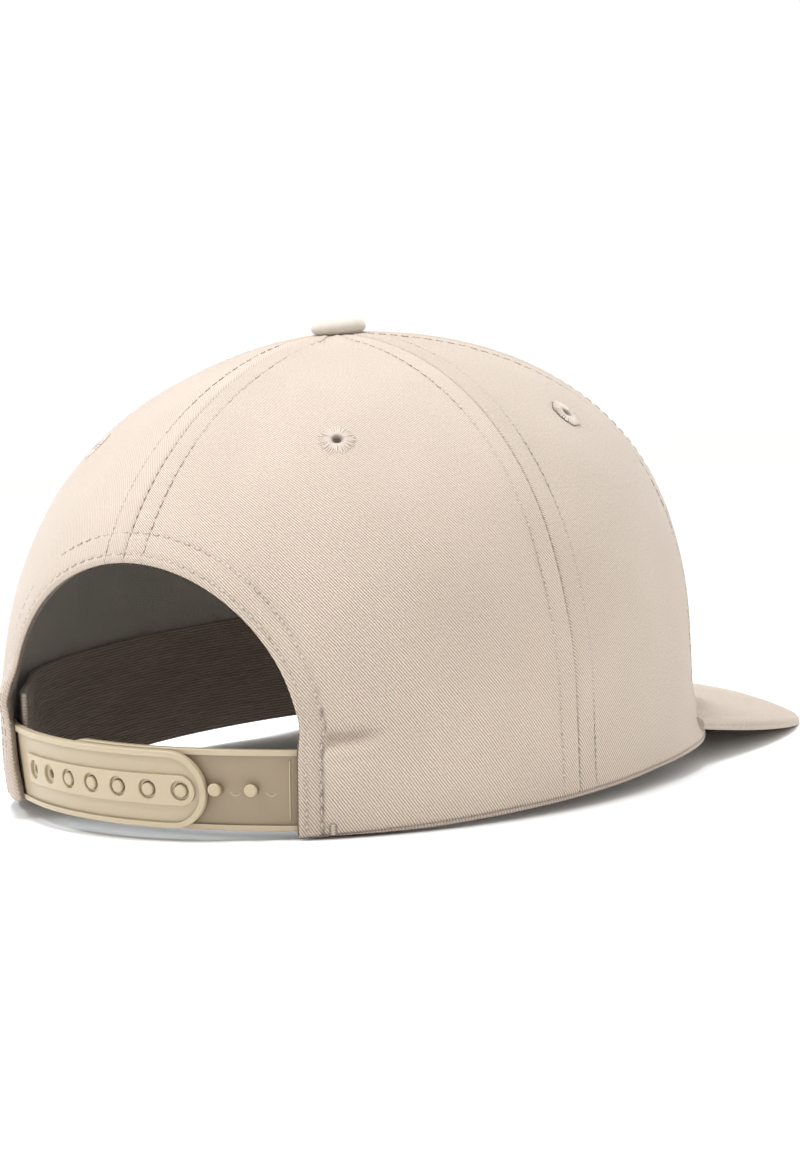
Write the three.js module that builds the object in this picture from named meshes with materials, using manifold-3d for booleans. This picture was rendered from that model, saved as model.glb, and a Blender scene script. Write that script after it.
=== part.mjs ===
import * as THREE from "three";
import { mergeVertices } from "three/addons/utils/BufferGeometryUtils.js";
import Module from "manifold-3d";

const wasm = await Module();
wasm.setup();

// A six-panel snapback cap with a flat peak, an arched opening at the back and a two-part plastic strap.
// Sizes are in millimetres. The cap is drawn with its rim on the plane z = 0, the peak towards -Y and
// the wearer's left towards +X. Angles are in degrees, from 0 at the front centre, past 90 at the
// wearer's right, to 180 at the back centre. At the end the cap is laid down on its peak and rim.

// Crown
const RIM_LENGTH = 201.8;
const RIM_WIDTH = 169.8;
const CROWN_HEIGHT = 115.7;
const CLOTH = 1.6;
const CLEARANCE = 0.3;
const TAPE_SEAT = 0.6;
const FRONT_SEAM_ANGLE = 56;
const SIDE_SEAM_ANGLE = 103;
const FRONT_PROFILE = { heightPower: 3.64, reachPower: 2.07 };
const BACK_PROFILE = { heightPower: 3.07, reachPower: 1.76 };
const BULGE = 0.02;
const PANEL_COLUMN_ANGLE = 6;

// Where a panel's rows lie on its profile: 0 is the upright wall at the rim, 90 the level top.
const ROW_TURNS = [0, 0.1, 0.5, 1.5, 4, 8, 14, 21, 29, 37, 46, 55, 64, 72, 79, 84.5, 88];

// Soft dents and bulges in the cloth. Heights, spreads and depths are shares of the crown's height.
const DENTS = [
  { angle: 141, height: 0.235, out: -0.006, angleSpread: 7, heightSpread: 0.03 },
  { angle: 139, height: 0.155, out: 0.008, angleSpread: 7, heightSpread: 0.05 },
  { angle: 214, height: 0.3, out: -0.009, angleSpread: 5, heightSpread: 0.05 },
  { angle: 225, height: 0.04, out: 0.034, angleSpread: 15, heightSpread: 0.3 },
];

// Peak
const PEAK_LENGTH = 64;
const PEAK_HALF_WIDTH = 78.5;
const PEAK_THICKNESS = 3.1;
const PEAK_TILT = 11.3;
const PEAK_CAMBER = 9;
const PEAK_ROOT_ANGLE = 62;
const PEAK_ROOT_HEIGHT = 5.5;
const PEAK_SIDE_POWER = 2.8;
const PEAK_FRONT_POWER = 2.7;
const PEAK_NOSE = 1.2;
const PEAK_NOSE_ROUNDING = 0.3;
const PEAK_SEAT = 0.5;
const PEAK_COLUMNS = 28;
const PEAK_ROW_SHARES = [0, 0.25, 0.5, 0.75, 1];
const FLARE = 3.6;
const FLARE_HEIGHT = 15;
const FLARE_FADE_ANGLE = 12;

// Button and eyelets
const BUTTON_RADIUS = 7.3;
const BUTTON_HEIGHT = 4.5;
const BUTTON_SIDE_HEIGHT = 1.6;
const BUTTON_FOOT_SHARE = 0.92;
const BUTTON_ROUNDING_POWER = 0.8;
const BUTTON_OFFSET = { across: -1.1, along: -0.8 };
const BUTTON_SHANK_RADIUS = 1.5;
const BUTTON_SHANK_LENGTH = 3;
const BUTTON_SIDES = 20;
const ROUNDING_STEPS = 5;
const EYELET_HEIGHT = 91.4;
const EYELET_RADIUS = 4.7;
const EYELET_HOLE_RADIUS = 1.5;
const EYELET_BARREL = 0.8;
const EYELET_FLANGE = 0.7;
const EYELET_INNER_FLANGE_SHARE = 0.85;
const EYELET_CROWN_SHARE = 0.85;
const EYELET_OUTER_SEAT = 0.45;
const EYELET_INNER_SEAT = 0.8;
const EYELET_SIDES = 10;
const EYELET_ANGLES = { front: 28, side: 78.5, back: 139.3 };

// Arched opening and the tape behind its edge
const ARCH_HALF_WIDTH = 45.7;
const ARCH_HEIGHT = 66.3;
const ARCH_UPRIGHT = 24;
const FACING_WIDTH = 12;
const FACING_THICKNESS = 0.8;
const FACING_SETBACK = 0.4;
const ARCH_BENDS = 24;

// Sweatband
const BAND_HEIGHT = 32;
const BAND_DROP = 1;
const BAND_THICKNESS = 1.2;
const BAND_STEP_ANGLE = 19;
const BAND_TAB_LEAD = 4;
const BAND_COLUMN_ANGLE = 6;
const BAND_ROWS = 3;
const BAND_END_ANGLE = 1;

// Strap. Its places are lengths along the rim from the back centre, towards the wearer's left.
const STRAP_MIDDLE = 13.3;
const STRAP_SLOPE = 0.032;
const STRAP_SAG = 0.00035;
const OUTER_STRAP_HEIGHT = 18.9;
const INNER_STRAP_HEIGHT = 19.7;
const STRAP_PLATE = 1.2;
const RAIL_WIDTH = 1.6;
const RAIL_HEIGHT = 0.7;
const STRAP_TAB = 12;
const STRAP_SEAT = 0.5;
const HOLE_COUNT = 7;
const HOLE_PITCH = 8.78;
const FIRST_HOLE = 33.8;
const HOLE_RADIUS = 1.45;
const HOLE_RECESS_RADIUS = 2.4;
const HOLE_RECESS_FLOOR = 0.85;
const RIDGE_BAR_HEIGHT = 7.4;
const RIDGE_BAR_RISE = 0.55;
const RIDGE_BAR_LEAD = 3.6;
const PEG_COUNT = 7;
const FREE_PEGS = 2;
const PEG_RADIUS = 1.7;
const PEG_HEAD = 0.55;
const PEG_HEAD_TOP_SHARE = 0.8;
const PEG_HEAD_SIDE_SHARE = 0.7;
const TIP_HALF_SHARE = 0.12;
const OUTER_STRAP_END = 6.4;
const INNER_STRAP_END = 4.9;
const STOP_RIB_PLACE = -45.2;
const STOP_RIB_WIDTH = 0.75;
const STOP_RIB_HEIGHT = 14.4;
const STRAP_STEP = 4;
const RECESS_SIDES = 12;
const BORE_SIDES = 8;
const PEG_SIDES = 10;

const degrees = THREE.MathUtils.degToRad;
const mix = THREE.MathUtils.lerp;
const smooth = THREE.MathUtils.smoothstep;

// Crown surface

function powersAt(angle) {
  const forward = (1 + Math.cos(degrees(angle))) / 2;
  return {
    heightPower: mix(BACK_PROFILE.heightPower, FRONT_PROFILE.heightPower, forward),
    reachPower: mix(BACK_PROFILE.reachPower, FRONT_PROFILE.reachPower, forward),
  };
}

// How far out the crown reaches at a share of its height, as a share of the rim's size.
function reachAt(angle, share) {
  const { heightPower, reachPower } = powersAt(angle);
  const risen = THREE.MathUtils.clamp(share, 0, 1);
  return (1 - risen ** heightPower) ** (1 / reachPower) * (1 + 4 * BULGE * risen * (1 - risen));
}

function aroundFront(angle) {
  return Math.abs(((angle + 180) % 360) - 180);
}

// The peak's root pushes the crown's lower edge out.
function flareAt(angle, height) {
  const fade = 1 - smooth(aroundFront(angle), PEAK_ROOT_ANGLE - 2, PEAK_ROOT_ANGLE - 2 + FLARE_FADE_ANGLE);
  const low = THREE.MathUtils.clamp(1 - height / FLARE_HEIGHT, 0, 1);
  return FLARE * fade * low * low;
}

function dentAt(angle, share) {
  let out = 0;
  for (const dent of DENTS) {
    const aside = (angle - dent.angle) / dent.angleSpread;
    const above = (share - dent.height) / dent.heightSpread;
    out += dent.out * CROWN_HEIGHT * Math.exp(-aside * aside - above * above);
  }
  return out;
}

// How far the cloth lies outside the crown's plain form.
function clothOut(angle, share) {
  return flareAt(angle, share * CROWN_HEIGHT) + dentAt(angle, share);
}

// A point at a share of the crown's height and a depth below its outer face.
function shell(angle, share, depth, out = clothOut(angle, share)) {
  const reach = reachAt(angle, share);
  const across = (RIM_WIDTH / 2 - depth) * reach + out;
  const along = (RIM_LENGTH / 2 - depth) * reach + out;
  const turn = degrees(angle);
  return new THREE.Vector3(
    -across * Math.sin(turn),
    -along * Math.cos(turn),
    share * (CROWN_HEIGHT - depth),
  );
}

// The same, at a height in millimetres.
function wall(angle, height, depth, out) {
  return shell(angle, height / (CROWN_HEIGHT - depth), depth, out);
}

// A point of the crown's back, at a place across and a height.
function backPoint(across, height, depth) {
  const share = height / (CROWN_HEIGHT - depth);
  let angle = 180;
  for (let round = 0; round < 8; round += 1) {
    const halfWidth = (RIM_WIDTH / 2 - depth) * reachAt(angle, share) + dentAt(angle, share);
    angle = 180 + THREE.MathUtils.radToDeg(Math.asin(across / halfWidth));
  }
  return shell(angle, share, depth);
}

// The angle that lies a length along the rim from the back centre, towards the wearer's left.
function angleAlong(length) {
  const steps = 40;
  let turn = 0;
  for (let step = 0; step < steps; step += 1) {
    const speed = Math.hypot((RIM_WIDTH / 2) * Math.cos(turn), (RIM_LENGTH / 2) * Math.sin(turn));
    turn += length / steps / speed;
  }
  return 180 + THREE.MathUtils.radToDeg(turn);
}

// The length along the rim, from the back centre towards the wearer's left, at which an angle lies.
function placeAt(angle) {
  const steps = 40;
  const turn = degrees(angle - 180) / steps;
  return evenly(0.5, steps - 0.5, steps - 1).reduce((length, step) => {
    const across = (RIM_WIDTH / 2) * Math.cos(step * turn);
    const along = (RIM_LENGTH / 2) * Math.sin(step * turn);
    return length + turn * Math.hypot(across, along);
  }, 0);
}

function outwardAt(angle, share) {
  const turn = 0.5;
  const rise = 0.005;
  const aside = shell(angle + turn, share, 0).sub(shell(angle - turn, share, 0));
  const up = shell(angle, share + rise, 0).sub(shell(angle, share - rise, 0));
  return up.cross(aside).normalize();
}

// Solids

// A closed body through sections of like count. The first half of a section's points runs along one
// face, and the second half comes back along the other.
function loft(sections) {
  const count = sections[0].length;
  const points = sections.flat();
  const triangles = [];
  const quad = (a, b, c, d) => triangles.push(a, b, c, a, c, d);
  for (let row = 0; row + 1 < sections.length; row += 1) {
    for (let side = 0; side < count; side += 1) {
      const next = (side + 1) % count;
      quad(row * count + side, row * count + next, (row + 1) * count + next, (row + 1) * count + side);
    }
  }
  const last = (sections.length - 1) * count;
  for (let side = 0; side + 1 < count / 2; side += 1) {
    const back = count - 1 - side;
    quad(side, back, back - 1, side + 1);
    quad(last + side, last + side + 1, last + back - 1, last + back);
  }
  const geometry = new THREE.BufferGeometry().setFromPoints(points);
  geometry.setIndex(triangles);
  return solid(geometry);
}

// A three.js geometry as a solid that can be cut and joined, with its faces pointing out.
function solid(geometry) {
  const bare = geometry.clone();
  for (const name of ["normal", "uv"]) bare.deleteAttribute(name);
  const merged = mergeVertices(bare, 1e-4);
  const vertProperties = merged.attributes.position.array;
  const triVerts = new Uint32Array(merged.index.array);
  const made = new wasm.Manifold(new wasm.Mesh({ numProp: 3, vertProperties, triVerts }));
  if (made.volume() > 0) return made;
  return new wasm.Manifold(new wasm.Mesh({ numProp: 3, vertProperties, triVerts: triVerts.reverse() }));
}

function geometryOf(body) {
  const { vertProperties, triVerts } = body.getMesh();
  const geometry = new THREE.BufferGeometry();
  geometry.setAttribute("position", new THREE.BufferAttribute(vertProperties, 3));
  geometry.setIndex(new THREE.BufferAttribute(triVerts, 1));
  const faceted = geometry.toNonIndexed();
  faceted.computeVertexNormals();
  return faceted;
}

// A body turned about an axis, from a profile in (radius, height), standing at a point.
function turned(profile, sides, at, outward) {
  const geometry = new THREE.LatheGeometry(
    profile.map(([radius, height]) => new THREE.Vector2(radius, height)),
    sides,
  );
  geometry.applyQuaternion(new THREE.Quaternion().setFromUnitVectors(new THREE.Vector3(0, 1, 0), outward));
  geometry.translate(at.x, at.y, at.z);
  return solid(geometry);
}

function evenly(from, to, count) {
  return Array.from({ length: count + 1 }, (_, step) => mix(from, to, step / count));
}

// Crown panels

function shareAtTurn(angle, turn) {
  return Math.sin(degrees(turn)) ** (2 / powersAt(angle).heightPower);
}

function panel(fromAngle, toAngle) {
  const columns = Math.ceil((toAngle - fromAngle) / PANEL_COLUMN_ANGLE);
  const sections = evenly(fromAngle, toAngle, columns).map((angle, column) => {
    const side = column === 0 ? 1 : column === columns ? -1 : 0;
    const aside = (side * CLEARANCE) / 2;
    const face = (depth) =>
      ROW_TURNS.map((turn) => {
        const point = shell(angle, shareAtTurn(angle, turn), depth);
        point.x -= aside * Math.cos(degrees(angle));
        point.y += aside * Math.sin(degrees(angle));
        return point;
      });
    return [...face(0), ...face(CLOTH).reverse()];
  });
  return loft(sections);
}

function eyeletHole(angle) {
  const at = shell(angle, EYELET_HEIGHT / CROWN_HEIGHT, CLOTH / 2);
  const radius = EYELET_HOLE_RADIUS + EYELET_BARREL + CLEARANCE;
  const reach = CLOTH * 2;
  const profile = [
    [0, -reach],
    [radius, -reach],
    [radius, reach],
    [0, reach],
  ];
  return turned(profile, EYELET_SIDES, at, outwardAt(angle, EYELET_HEIGHT / CROWN_HEIGHT));
}

// The arch's edge, set back into the cloth by a distance, from the wearer's right to the left.
function archEdge(setback, lowest) {
  const halfWidth = ARCH_HALF_WIDTH + setback;
  const rise = ARCH_HEIGHT - ARCH_UPRIGHT + setback;
  const bends = evenly(0, 180, ARCH_BENDS).map((turn) => ({
    across: -halfWidth * Math.cos(degrees(turn)),
    height: ARCH_UPRIGHT + rise * Math.sin(degrees(turn)),
  }));
  return [{ across: -halfWidth, height: lowest }, ...bends, { across: halfWidth, height: lowest }];
}

function archCutter() {
  const outline = new THREE.Shape(
    archEdge(0, -ARCH_UPRIGHT).map(({ across, height }) => new THREE.Vector2(across, height)),
  );
  const geometry = new THREE.ExtrudeGeometry(outline, { depth: RIM_LENGTH, bevelEnabled: false });
  geometry.rotateX(Math.PI / 2);
  geometry.scale(1, -1, 1);
  const back = new THREE.Box3().setFromBufferAttribute(geometry.attributes.position);
  geometry.translate(0, -back.min.y, 0);
  return solid(geometry);
}

function archFacing() {
  const lowest = strapMiddle(hemPlace) + INNER_STRAP_HEIGHT / 2 + CLEARANCE;
  const inner = archEdge(FACING_SETBACK, lowest);
  const outer = archEdge(FACING_SETBACK + FACING_WIDTH, lowest);
  const nearDepth = CLOTH + TAPE_SEAT;
  const farDepth = nearDepth + FACING_THICKNESS;
  const shares = [0, 0.5, 1];
  const sections = inner.map((edge, place) => {
    const face = (depth) =>
      shares.map((share) =>
        backPoint(
          mix(edge.across, outer[place].across, share),
          mix(edge.height, outer[place].height, share),
          depth,
        ),
      );
    return [...face(nearDepth), ...face(farDepth).reverse()];
  });
  return loft(sections);
}

// Sweatband

const hemAngle = 180 - THREE.MathUtils.radToDeg(Math.asin(ARCH_HALF_WIDTH / (RIM_WIDTH / 2)));
const railTopInside = CLOTH + STRAP_SEAT;
const faceInside = railTopInside + RAIL_HEIGHT;
const backInside = faceInside + STRAP_PLATE;

const tabAngle = 360 - angleAlong(placeAt(360 - hemAngle) + STRAP_TAB + BAND_TAB_LEAD);

// The band steps in behind the strap's ends.
function bandDepth(angle) {
  const near = smooth(Math.abs(angle), tabAngle - BAND_STEP_ANGLE, tabAngle);
  return mix(CLOTH + TAPE_SEAT, backInside + CLEARANCE, near);
}

function sweatband() {
  const end = hemAngle - BAND_END_ANGLE;
  const heights = evenly(-BAND_DROP, BAND_HEIGHT - BAND_DROP, BAND_ROWS);
  const sections = evenly(-end, end, Math.ceil((2 * end) / BAND_COLUMN_ANGLE)).map((angle) => {
    const depth = bandDepth(angle);
    const face = (inside) => heights.map((height) => wall(angle, height, inside, 0));
    return [...face(depth), ...face(depth + BAND_THICKNESS).reverse()];
  });
  return loft(sections);
}

// Peak

const peakCorner = wall(PEAK_ROOT_ANGLE, 0, -PEAK_SEAT);

function peakTop(across, along) {
  const forward = peakCorner.y - along;
  const side = across / peakCorner.x;
  return PEAK_ROOT_HEIGHT + PEAK_CAMBER * (1 - side * side) - Math.tan(degrees(PEAK_TILT)) * forward;
}

// Where the peak's top or underside meets the crown.
function peakRoot(angle, depth) {
  const foot = wall(angle, 0, -PEAK_SEAT);
  return wall(angle, Math.max(peakTop(foot.x, foot.y) - depth, 0), -PEAK_SEAT);
}

function peak() {
  const front = RIM_LENGTH / 2 + PEAK_LENGTH + peakCorner.y;
  const sections = evenly(-1, 1, PEAK_COLUMNS).map((share) => {
    const turn = (share * Math.PI) / 2;
    const edge = new THREE.Vector3(
      -PEAK_HALF_WIDTH * Math.sign(share) * Math.abs(Math.sin(turn)) ** (2 / PEAK_SIDE_POWER),
      peakCorner.y - front * Math.abs(Math.cos(turn)) ** (2 / PEAK_FRONT_POWER),
    );
    const face = (depth, noseDepth) => {
      const root = peakRoot(share * PEAK_ROOT_ANGLE, depth).setZ(0);
      const level = 1 - PEAK_NOSE / edge.distanceTo(root);
      const at = (place, down) => {
        const spot = root.clone().lerp(edge, place);
        return spot.setZ(peakTop(spot.x, spot.y) - down);
      };
      return PEAK_ROW_SHARES.map((place) => at(place * level, depth)).concat(at(1, noseDepth));
    };
    const top = face(0, PEAK_NOSE_ROUNDING * PEAK_THICKNESS);
    const under = face(PEAK_THICKNESS, (1 - PEAK_NOSE_ROUNDING) * PEAK_THICKNESS);
    return [...top, ...under.reverse()];
  });
  return loft(sections);
}

// Button and eyelets

function topButton() {
  const at = new THREE.Vector3(BUTTON_OFFSET.across, BUTTON_OFFSET.along, CROWN_HEIGHT + CLEARANCE);
  const dome = evenly(0, 90, ROUNDING_STEPS).map((turn) => [
    BUTTON_RADIUS * Math.cos(degrees(turn)) ** BUTTON_ROUNDING_POWER,
    mix(BUTTON_SIDE_HEIGHT, BUTTON_HEIGHT, Math.sin(degrees(turn))),
  ]);
  const profile = [
    [0, -BUTTON_SHANK_LENGTH],
    [BUTTON_SHANK_RADIUS, -BUTTON_SHANK_LENGTH],
    [BUTTON_SHANK_RADIUS, 0],
    [BUTTON_FOOT_SHARE * BUTTON_RADIUS, 0],
    ...dome.slice(0, -1),
    [0, BUTTON_HEIGHT],
  ];
  return turned(profile, BUTTON_SIDES, at, new THREE.Vector3(0, 0, 1));
}

// A stitched ring that grips the edge of its hole from both faces.
function eyelet(angle) {
  const share = EYELET_HEIGHT / CROWN_HEIGHT;
  const at = shell(angle, share, 0);
  const barrel = EYELET_HOLE_RADIUS + EYELET_BARREL;
  const outside = EYELET_OUTER_SEAT;
  const inside = -CLOTH - EYELET_INNER_SEAT;
  const innerRadius = EYELET_RADIUS * EYELET_INNER_FLANGE_SHARE;
  const profile = [
    [EYELET_HOLE_RADIUS, inside - EYELET_FLANGE],
    [innerRadius, inside - EYELET_FLANGE],
    [innerRadius, inside],
    [barrel, inside],
    [barrel, outside],
    [EYELET_RADIUS, outside],
    [EYELET_CROWN_SHARE * EYELET_RADIUS, outside + EYELET_FLANGE],
    [EYELET_HOLE_RADIUS, outside + EYELET_CROWN_SHARE * EYELET_FLANGE],
    [EYELET_HOLE_RADIUS, inside - EYELET_FLANGE],
  ];
  return turned(profile, EYELET_SIDES, at, outwardAt(angle, share));
}

// Strap

// The strap's middle line sinks towards the wearer's right.
function strapMiddle(place) {
  return STRAP_MIDDLE + STRAP_SLOPE * place - STRAP_SAG * place * place;
}

// A strip that lies along the crown's back, between two depths that may change along it.
function strip({ from, to, height, roundFrom = false, roundTo = false, outer, inner }) {
  const radius = height / 2;
  const ahead = to > from ? 1 : -1;
  const bend = evenly(0, 90, ROUNDING_STEPS).map((turn) => ({
    back: radius * (1 - Math.sin(degrees(turn))),
    half: radius * Math.max(Math.cos(degrees(turn)), TIP_HALF_SHARE),
  }));
  const start = roundFrom ? from + ahead * radius : from;
  const stop = roundTo ? to - ahead * radius : to;
  const stations = evenly(start, stop, Math.ceil(Math.abs(stop - start) / STRAP_STEP)).map((place) => ({
    place,
    half: radius,
  }));
  if (roundFrom) {
    const cap = bend.slice(1).reverse();
    stations.unshift(...cap.map(({ back, half }) => ({ place: from + ahead * back, half })));
  }
  if (roundTo) {
    stations.push(...bend.slice(1).map(({ back, half }) => ({ place: to - ahead * back, half })));
  }
  const sections = stations.map(({ place, half }) => {
    const angle = angleAlong(place);
    const point = (rise, depth) => wall(angle, strapMiddle(place) + rise, depth, 0);
    return [
      point(-half, outer(place)),
      point(half, outer(place)),
      point(half, inner(place)),
      point(-half, inner(place)),
    ];
  });
  return loft(sections);
}

const holePlaces = Array.from({ length: HOLE_COUNT }, (_, hole) => FIRST_HOLE - hole * HOLE_PITCH);
const pegPlaces = Array.from(
  { length: PEG_COUNT },
  (_, peg) => holePlaces[HOLE_COUNT - 1] - (FREE_PEGS - peg) * HOLE_PITCH,
);
const innerStrapTip = pegPlaces[PEG_COUNT - 1] + INNER_STRAP_END;
const hemPlace = placeAt(360 - hemAngle);
const tabEnd = hemPlace + STRAP_TAB;

// The outer strap comes out from under the left hem and rides over the inner strap.
const overlapDepth = faceInside - RAIL_HEIGHT - CLEARANCE - STRAP_PLATE;
function outerFace(place) {
  return mix(overlapDepth, faceInside, smooth(place, innerStrapTip, hemPlace));
}

function plateWithRails(from, to, height, face) {
  const plate = strip({
    from,
    to,
    height,
    roundTo: true,
    outer: (place) => face(place) - RAIL_HEIGHT,
    inner: (place) => face(place) + STRAP_PLATE,
  });
  const ahead = to > from ? 1 : -1;
  const pocket = strip({
    from: from - ahead * RAIL_WIDTH,
    to: to - ahead * RAIL_WIDTH,
    height: height - 2 * RAIL_WIDTH,
    roundTo: true,
    outer: (place) => face(place) - 3 * RAIL_HEIGHT,
    inner: face,
  });
  return plate.subtract(pocket);
}

// A round body across the strap's middle, from a profile in (radius, depth).
function acrossStrap(place, profile, sides) {
  const angle = angleAlong(place);
  const heights = profile.map(([radius, depth]) => [radius, -depth]);
  const outward = outwardAt(angle, strapMiddle(place) / CROWN_HEIGHT);
  return turned(heights, sides, wall(angle, strapMiddle(place), 0, 0), outward);
}

function bore(place, radius, depth, sides) {
  const proud = -2 * STRAP_PLATE;
  const profile = [
    [0, depth],
    [radius, depth],
    [radius, proud],
    [0, proud],
  ];
  return acrossStrap(place, profile, sides);
}

function outerStrap() {
  const end = holePlaces[HOLE_COUNT - 1] - OUTER_STRAP_END;
  let body = plateWithRails(tabEnd, end, OUTER_STRAP_HEIGHT, outerFace);
  body = body.add(
    strip({
      from: FIRST_HOLE + RIDGE_BAR_LEAD,
      to: holePlaces[HOLE_COUNT - 1] - RIDGE_BAR_HEIGHT / 2,
      height: RIDGE_BAR_HEIGHT,
      roundTo: true,
      outer: (place) => outerFace(place) - RIDGE_BAR_RISE,
      inner: (place) => outerFace(place) + STRAP_PLATE / 2,
    }),
  );
  for (const place of holePlaces) {
    const face = outerFace(place);
    const floor = face - RIDGE_BAR_RISE + HOLE_RECESS_FLOOR;
    body = body.subtract(bore(place, HOLE_RECESS_RADIUS, floor, RECESS_SIDES));
    body = body.subtract(bore(place, HOLE_RADIUS, face + 2 * STRAP_PLATE, BORE_SIDES));
  }
  return body;
}

function innerStrap() {
  let body = plateWithRails(-tabEnd, innerStrapTip, INNER_STRAP_HEIGHT, () => faceInside);
  const neckRadius = HOLE_RADIUS - CLEARANCE;
  const headUnder = overlapDepth - RIDGE_BAR_RISE + HOLE_RECESS_FLOOR - CLEARANCE;
  const root = faceInside + STRAP_PLATE / 2;
  const profile = [
    [0, root],
    [neckRadius, root],
    [neckRadius, headUnder],
    [PEG_RADIUS, headUnder],
    [PEG_RADIUS, headUnder - PEG_HEAD * PEG_HEAD_SIDE_SHARE],
    [PEG_RADIUS * PEG_HEAD_TOP_SHARE, headUnder - PEG_HEAD],
    [0, headUnder - PEG_HEAD],
  ];
  for (const place of pegPlaces) {
    body = body.add(acrossStrap(place, profile, PEG_SIDES));
  }
  return body.add(
    strip({
      from: STOP_RIB_PLACE - STOP_RIB_WIDTH / 2,
      to: STOP_RIB_PLACE + STOP_RIB_WIDTH / 2,
      height: STOP_RIB_HEIGHT,
      outer: () => faceInside - RAIL_HEIGHT / 2,
      inner: () => faceInside + STRAP_PLATE / 2,
    }),
  );
}

// Materials

const twill = { color: 0xd8c8ba, roughness: 0.92, metalness: 0 };
const thread = { color: 0xcbb8a6, roughness: 0.8, metalness: 0 };
const tape = { color: 0x9b8c83, roughness: 0.95, metalness: 0 };
const plastic = { color: 0xd6c8ac, roughness: 0.45, metalness: 0 };

// Assembly

const cap = new THREE.Group();

function add(name, body, look) {
  const mesh = new THREE.Mesh(geometryOf(body), new THREE.MeshStandardMaterial(look));
  mesh.name = name;
  cap.add(mesh);
}

const PANELS = [
  { name: "front_panel", eyelet: "front", from: 0, to: FRONT_SEAM_ANGLE, arched: false },
  { name: "side_panel", eyelet: "side", from: FRONT_SEAM_ANGLE, to: SIDE_SEAM_ANGLE, arched: false },
  { name: "back_panel", eyelet: "back", from: SIDE_SEAM_ANGLE, to: 180, arched: true },
];
const SIDES = [
  { name: "right", place: (angle) => angle },
  { name: "left", place: (angle) => 360 - angle },
];

for (const { name, eyelet: spot, from, to, arched } of PANELS) {
  for (const side of SIDES) {
    const ends = [side.place(from), side.place(to)].sort((a, b) => a - b);
    const eyeletAngle = side.place(EYELET_ANGLES[spot]);
    let body = panel(ends[0], ends[1]).subtract(eyeletHole(eyeletAngle));
    if (arched) body = body.subtract(archCutter());
    add(`${name}_${side.name}`, body, twill);
    add(`eyelet_${spot}_${side.name}`, eyelet(eyeletAngle), thread);
  }
}
add("top_button", topButton(), twill);
add("peak", peak(), twill);
add("sweatband", sweatband(), tape);
add("arch_facing", archFacing(), twill);
add("strap_left", outerStrap(), plastic);
add("strap_right", innerStrap(), plastic);

// Resting pose: the cap turns about the X axis until its front and its back touch the floor.

const corners = cap.children.flatMap((mesh) => {
  const { array } = mesh.geometry.attributes.position;
  return Array.from({ length: array.length / 3 }, (_, corner) => [array[3 * corner + 1], array[3 * corner + 2]]);
});

function lowest(tilt, sign) {
  const heights = corners
    .filter(([along]) => Math.sign(along) === sign)
    .map(([along, height]) => along * Math.sin(tilt) + height * Math.cos(tilt));
  return heights.reduce((least, height) => Math.min(least, height), Infinity);
}

let levelLow = -Math.PI / 8;
let levelHigh = Math.PI / 8;
for (let round = 0; round < 30; round += 1) {
  const tilt = (levelLow + levelHigh) / 2;
  if (lowest(tilt, -1) > lowest(tilt, 1)) levelLow = tilt;
  else levelHigh = tilt;
}
cap.rotation.x = levelHigh;

const snapback = new THREE.Group();
snapback.add(cap);
const box = new THREE.Box3().setFromObject(snapback, true);
const middle = box.getCenter(new THREE.Vector3());
cap.position.set(-middle.x, -middle.y, -box.min.z);

export default snapback;
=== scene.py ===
import math

import bmesh
import bpy
import numpy as np
from mathutils import Matrix, Vector


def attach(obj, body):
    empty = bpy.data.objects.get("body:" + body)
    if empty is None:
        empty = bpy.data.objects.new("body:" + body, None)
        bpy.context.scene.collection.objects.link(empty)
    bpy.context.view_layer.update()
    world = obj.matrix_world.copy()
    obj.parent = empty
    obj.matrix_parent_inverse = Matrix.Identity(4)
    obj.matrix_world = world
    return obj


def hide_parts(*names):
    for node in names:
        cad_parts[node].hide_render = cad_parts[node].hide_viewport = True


# A snapback cap in cotton twill. The cloth, threads and plastic are made in millimetres in the cap's own
# frame: rim on the plane z = 0, peak towards -Y, wearer's left towards +X, angles in degrees from 0 at
# the front centre past 90 at the wearer's right. At the end each point goes to its place at rest, in metres.

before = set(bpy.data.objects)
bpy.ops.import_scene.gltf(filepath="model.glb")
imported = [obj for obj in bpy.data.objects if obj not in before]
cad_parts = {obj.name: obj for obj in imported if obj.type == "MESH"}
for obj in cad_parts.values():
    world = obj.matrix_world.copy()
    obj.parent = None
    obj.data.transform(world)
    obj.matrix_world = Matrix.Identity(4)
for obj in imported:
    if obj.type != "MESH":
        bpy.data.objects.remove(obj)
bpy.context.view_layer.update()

# The cap's rest on the floor, as in the solids
REST_TILT = -2.8463
REST_SHIFT = (0, 31.1743, 4.9957)

# Crown
RIM_LENGTH = 201.8
RIM_WIDTH = 169.8
CROWN_HEIGHT = 115.7
CLOTH = 1.6
BULGE = 0.02
FRONT_POWERS = (3.64, 2.07)
BACK_POWERS = (3.07, 1.76)
FRONT_SEAM = 56
SIDE_SEAM = 103
GORES = ((0, FRONT_SEAM), (FRONT_SEAM, SIDE_SEAM), (SIDE_SEAM, 180))
TOP_TURN = 88
FLARE = 3.6
FLARE_HEIGHT = 15
FLARE_FADE = 26
SIGNS = {"right": 1, "left": -1}

# Dents and bulges: angle, share of the height, outward share of the height, spread of the angle, of the share
DENTS = (
    (141, 0.235, -0.006, 7, 0.03),
    (139, 0.155, 0.008, 7, 0.05),
    (214, 0.3, -0.009, 5, 0.05),
    (225, 0.04, 0.034, 15, 0.3),
    (212.6, 0.272, 0.027, 3.4, 0.05),
    (212.6, 0.07, 0.0152, 3.4, 0.17),
)

# The crease beside the right hem: height, depth, then the ridge below it
HEM_CREASE = (23.4, 1.7, 18.8, 1.1)
HEM_CREASE_SPREAD = 2.1

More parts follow.
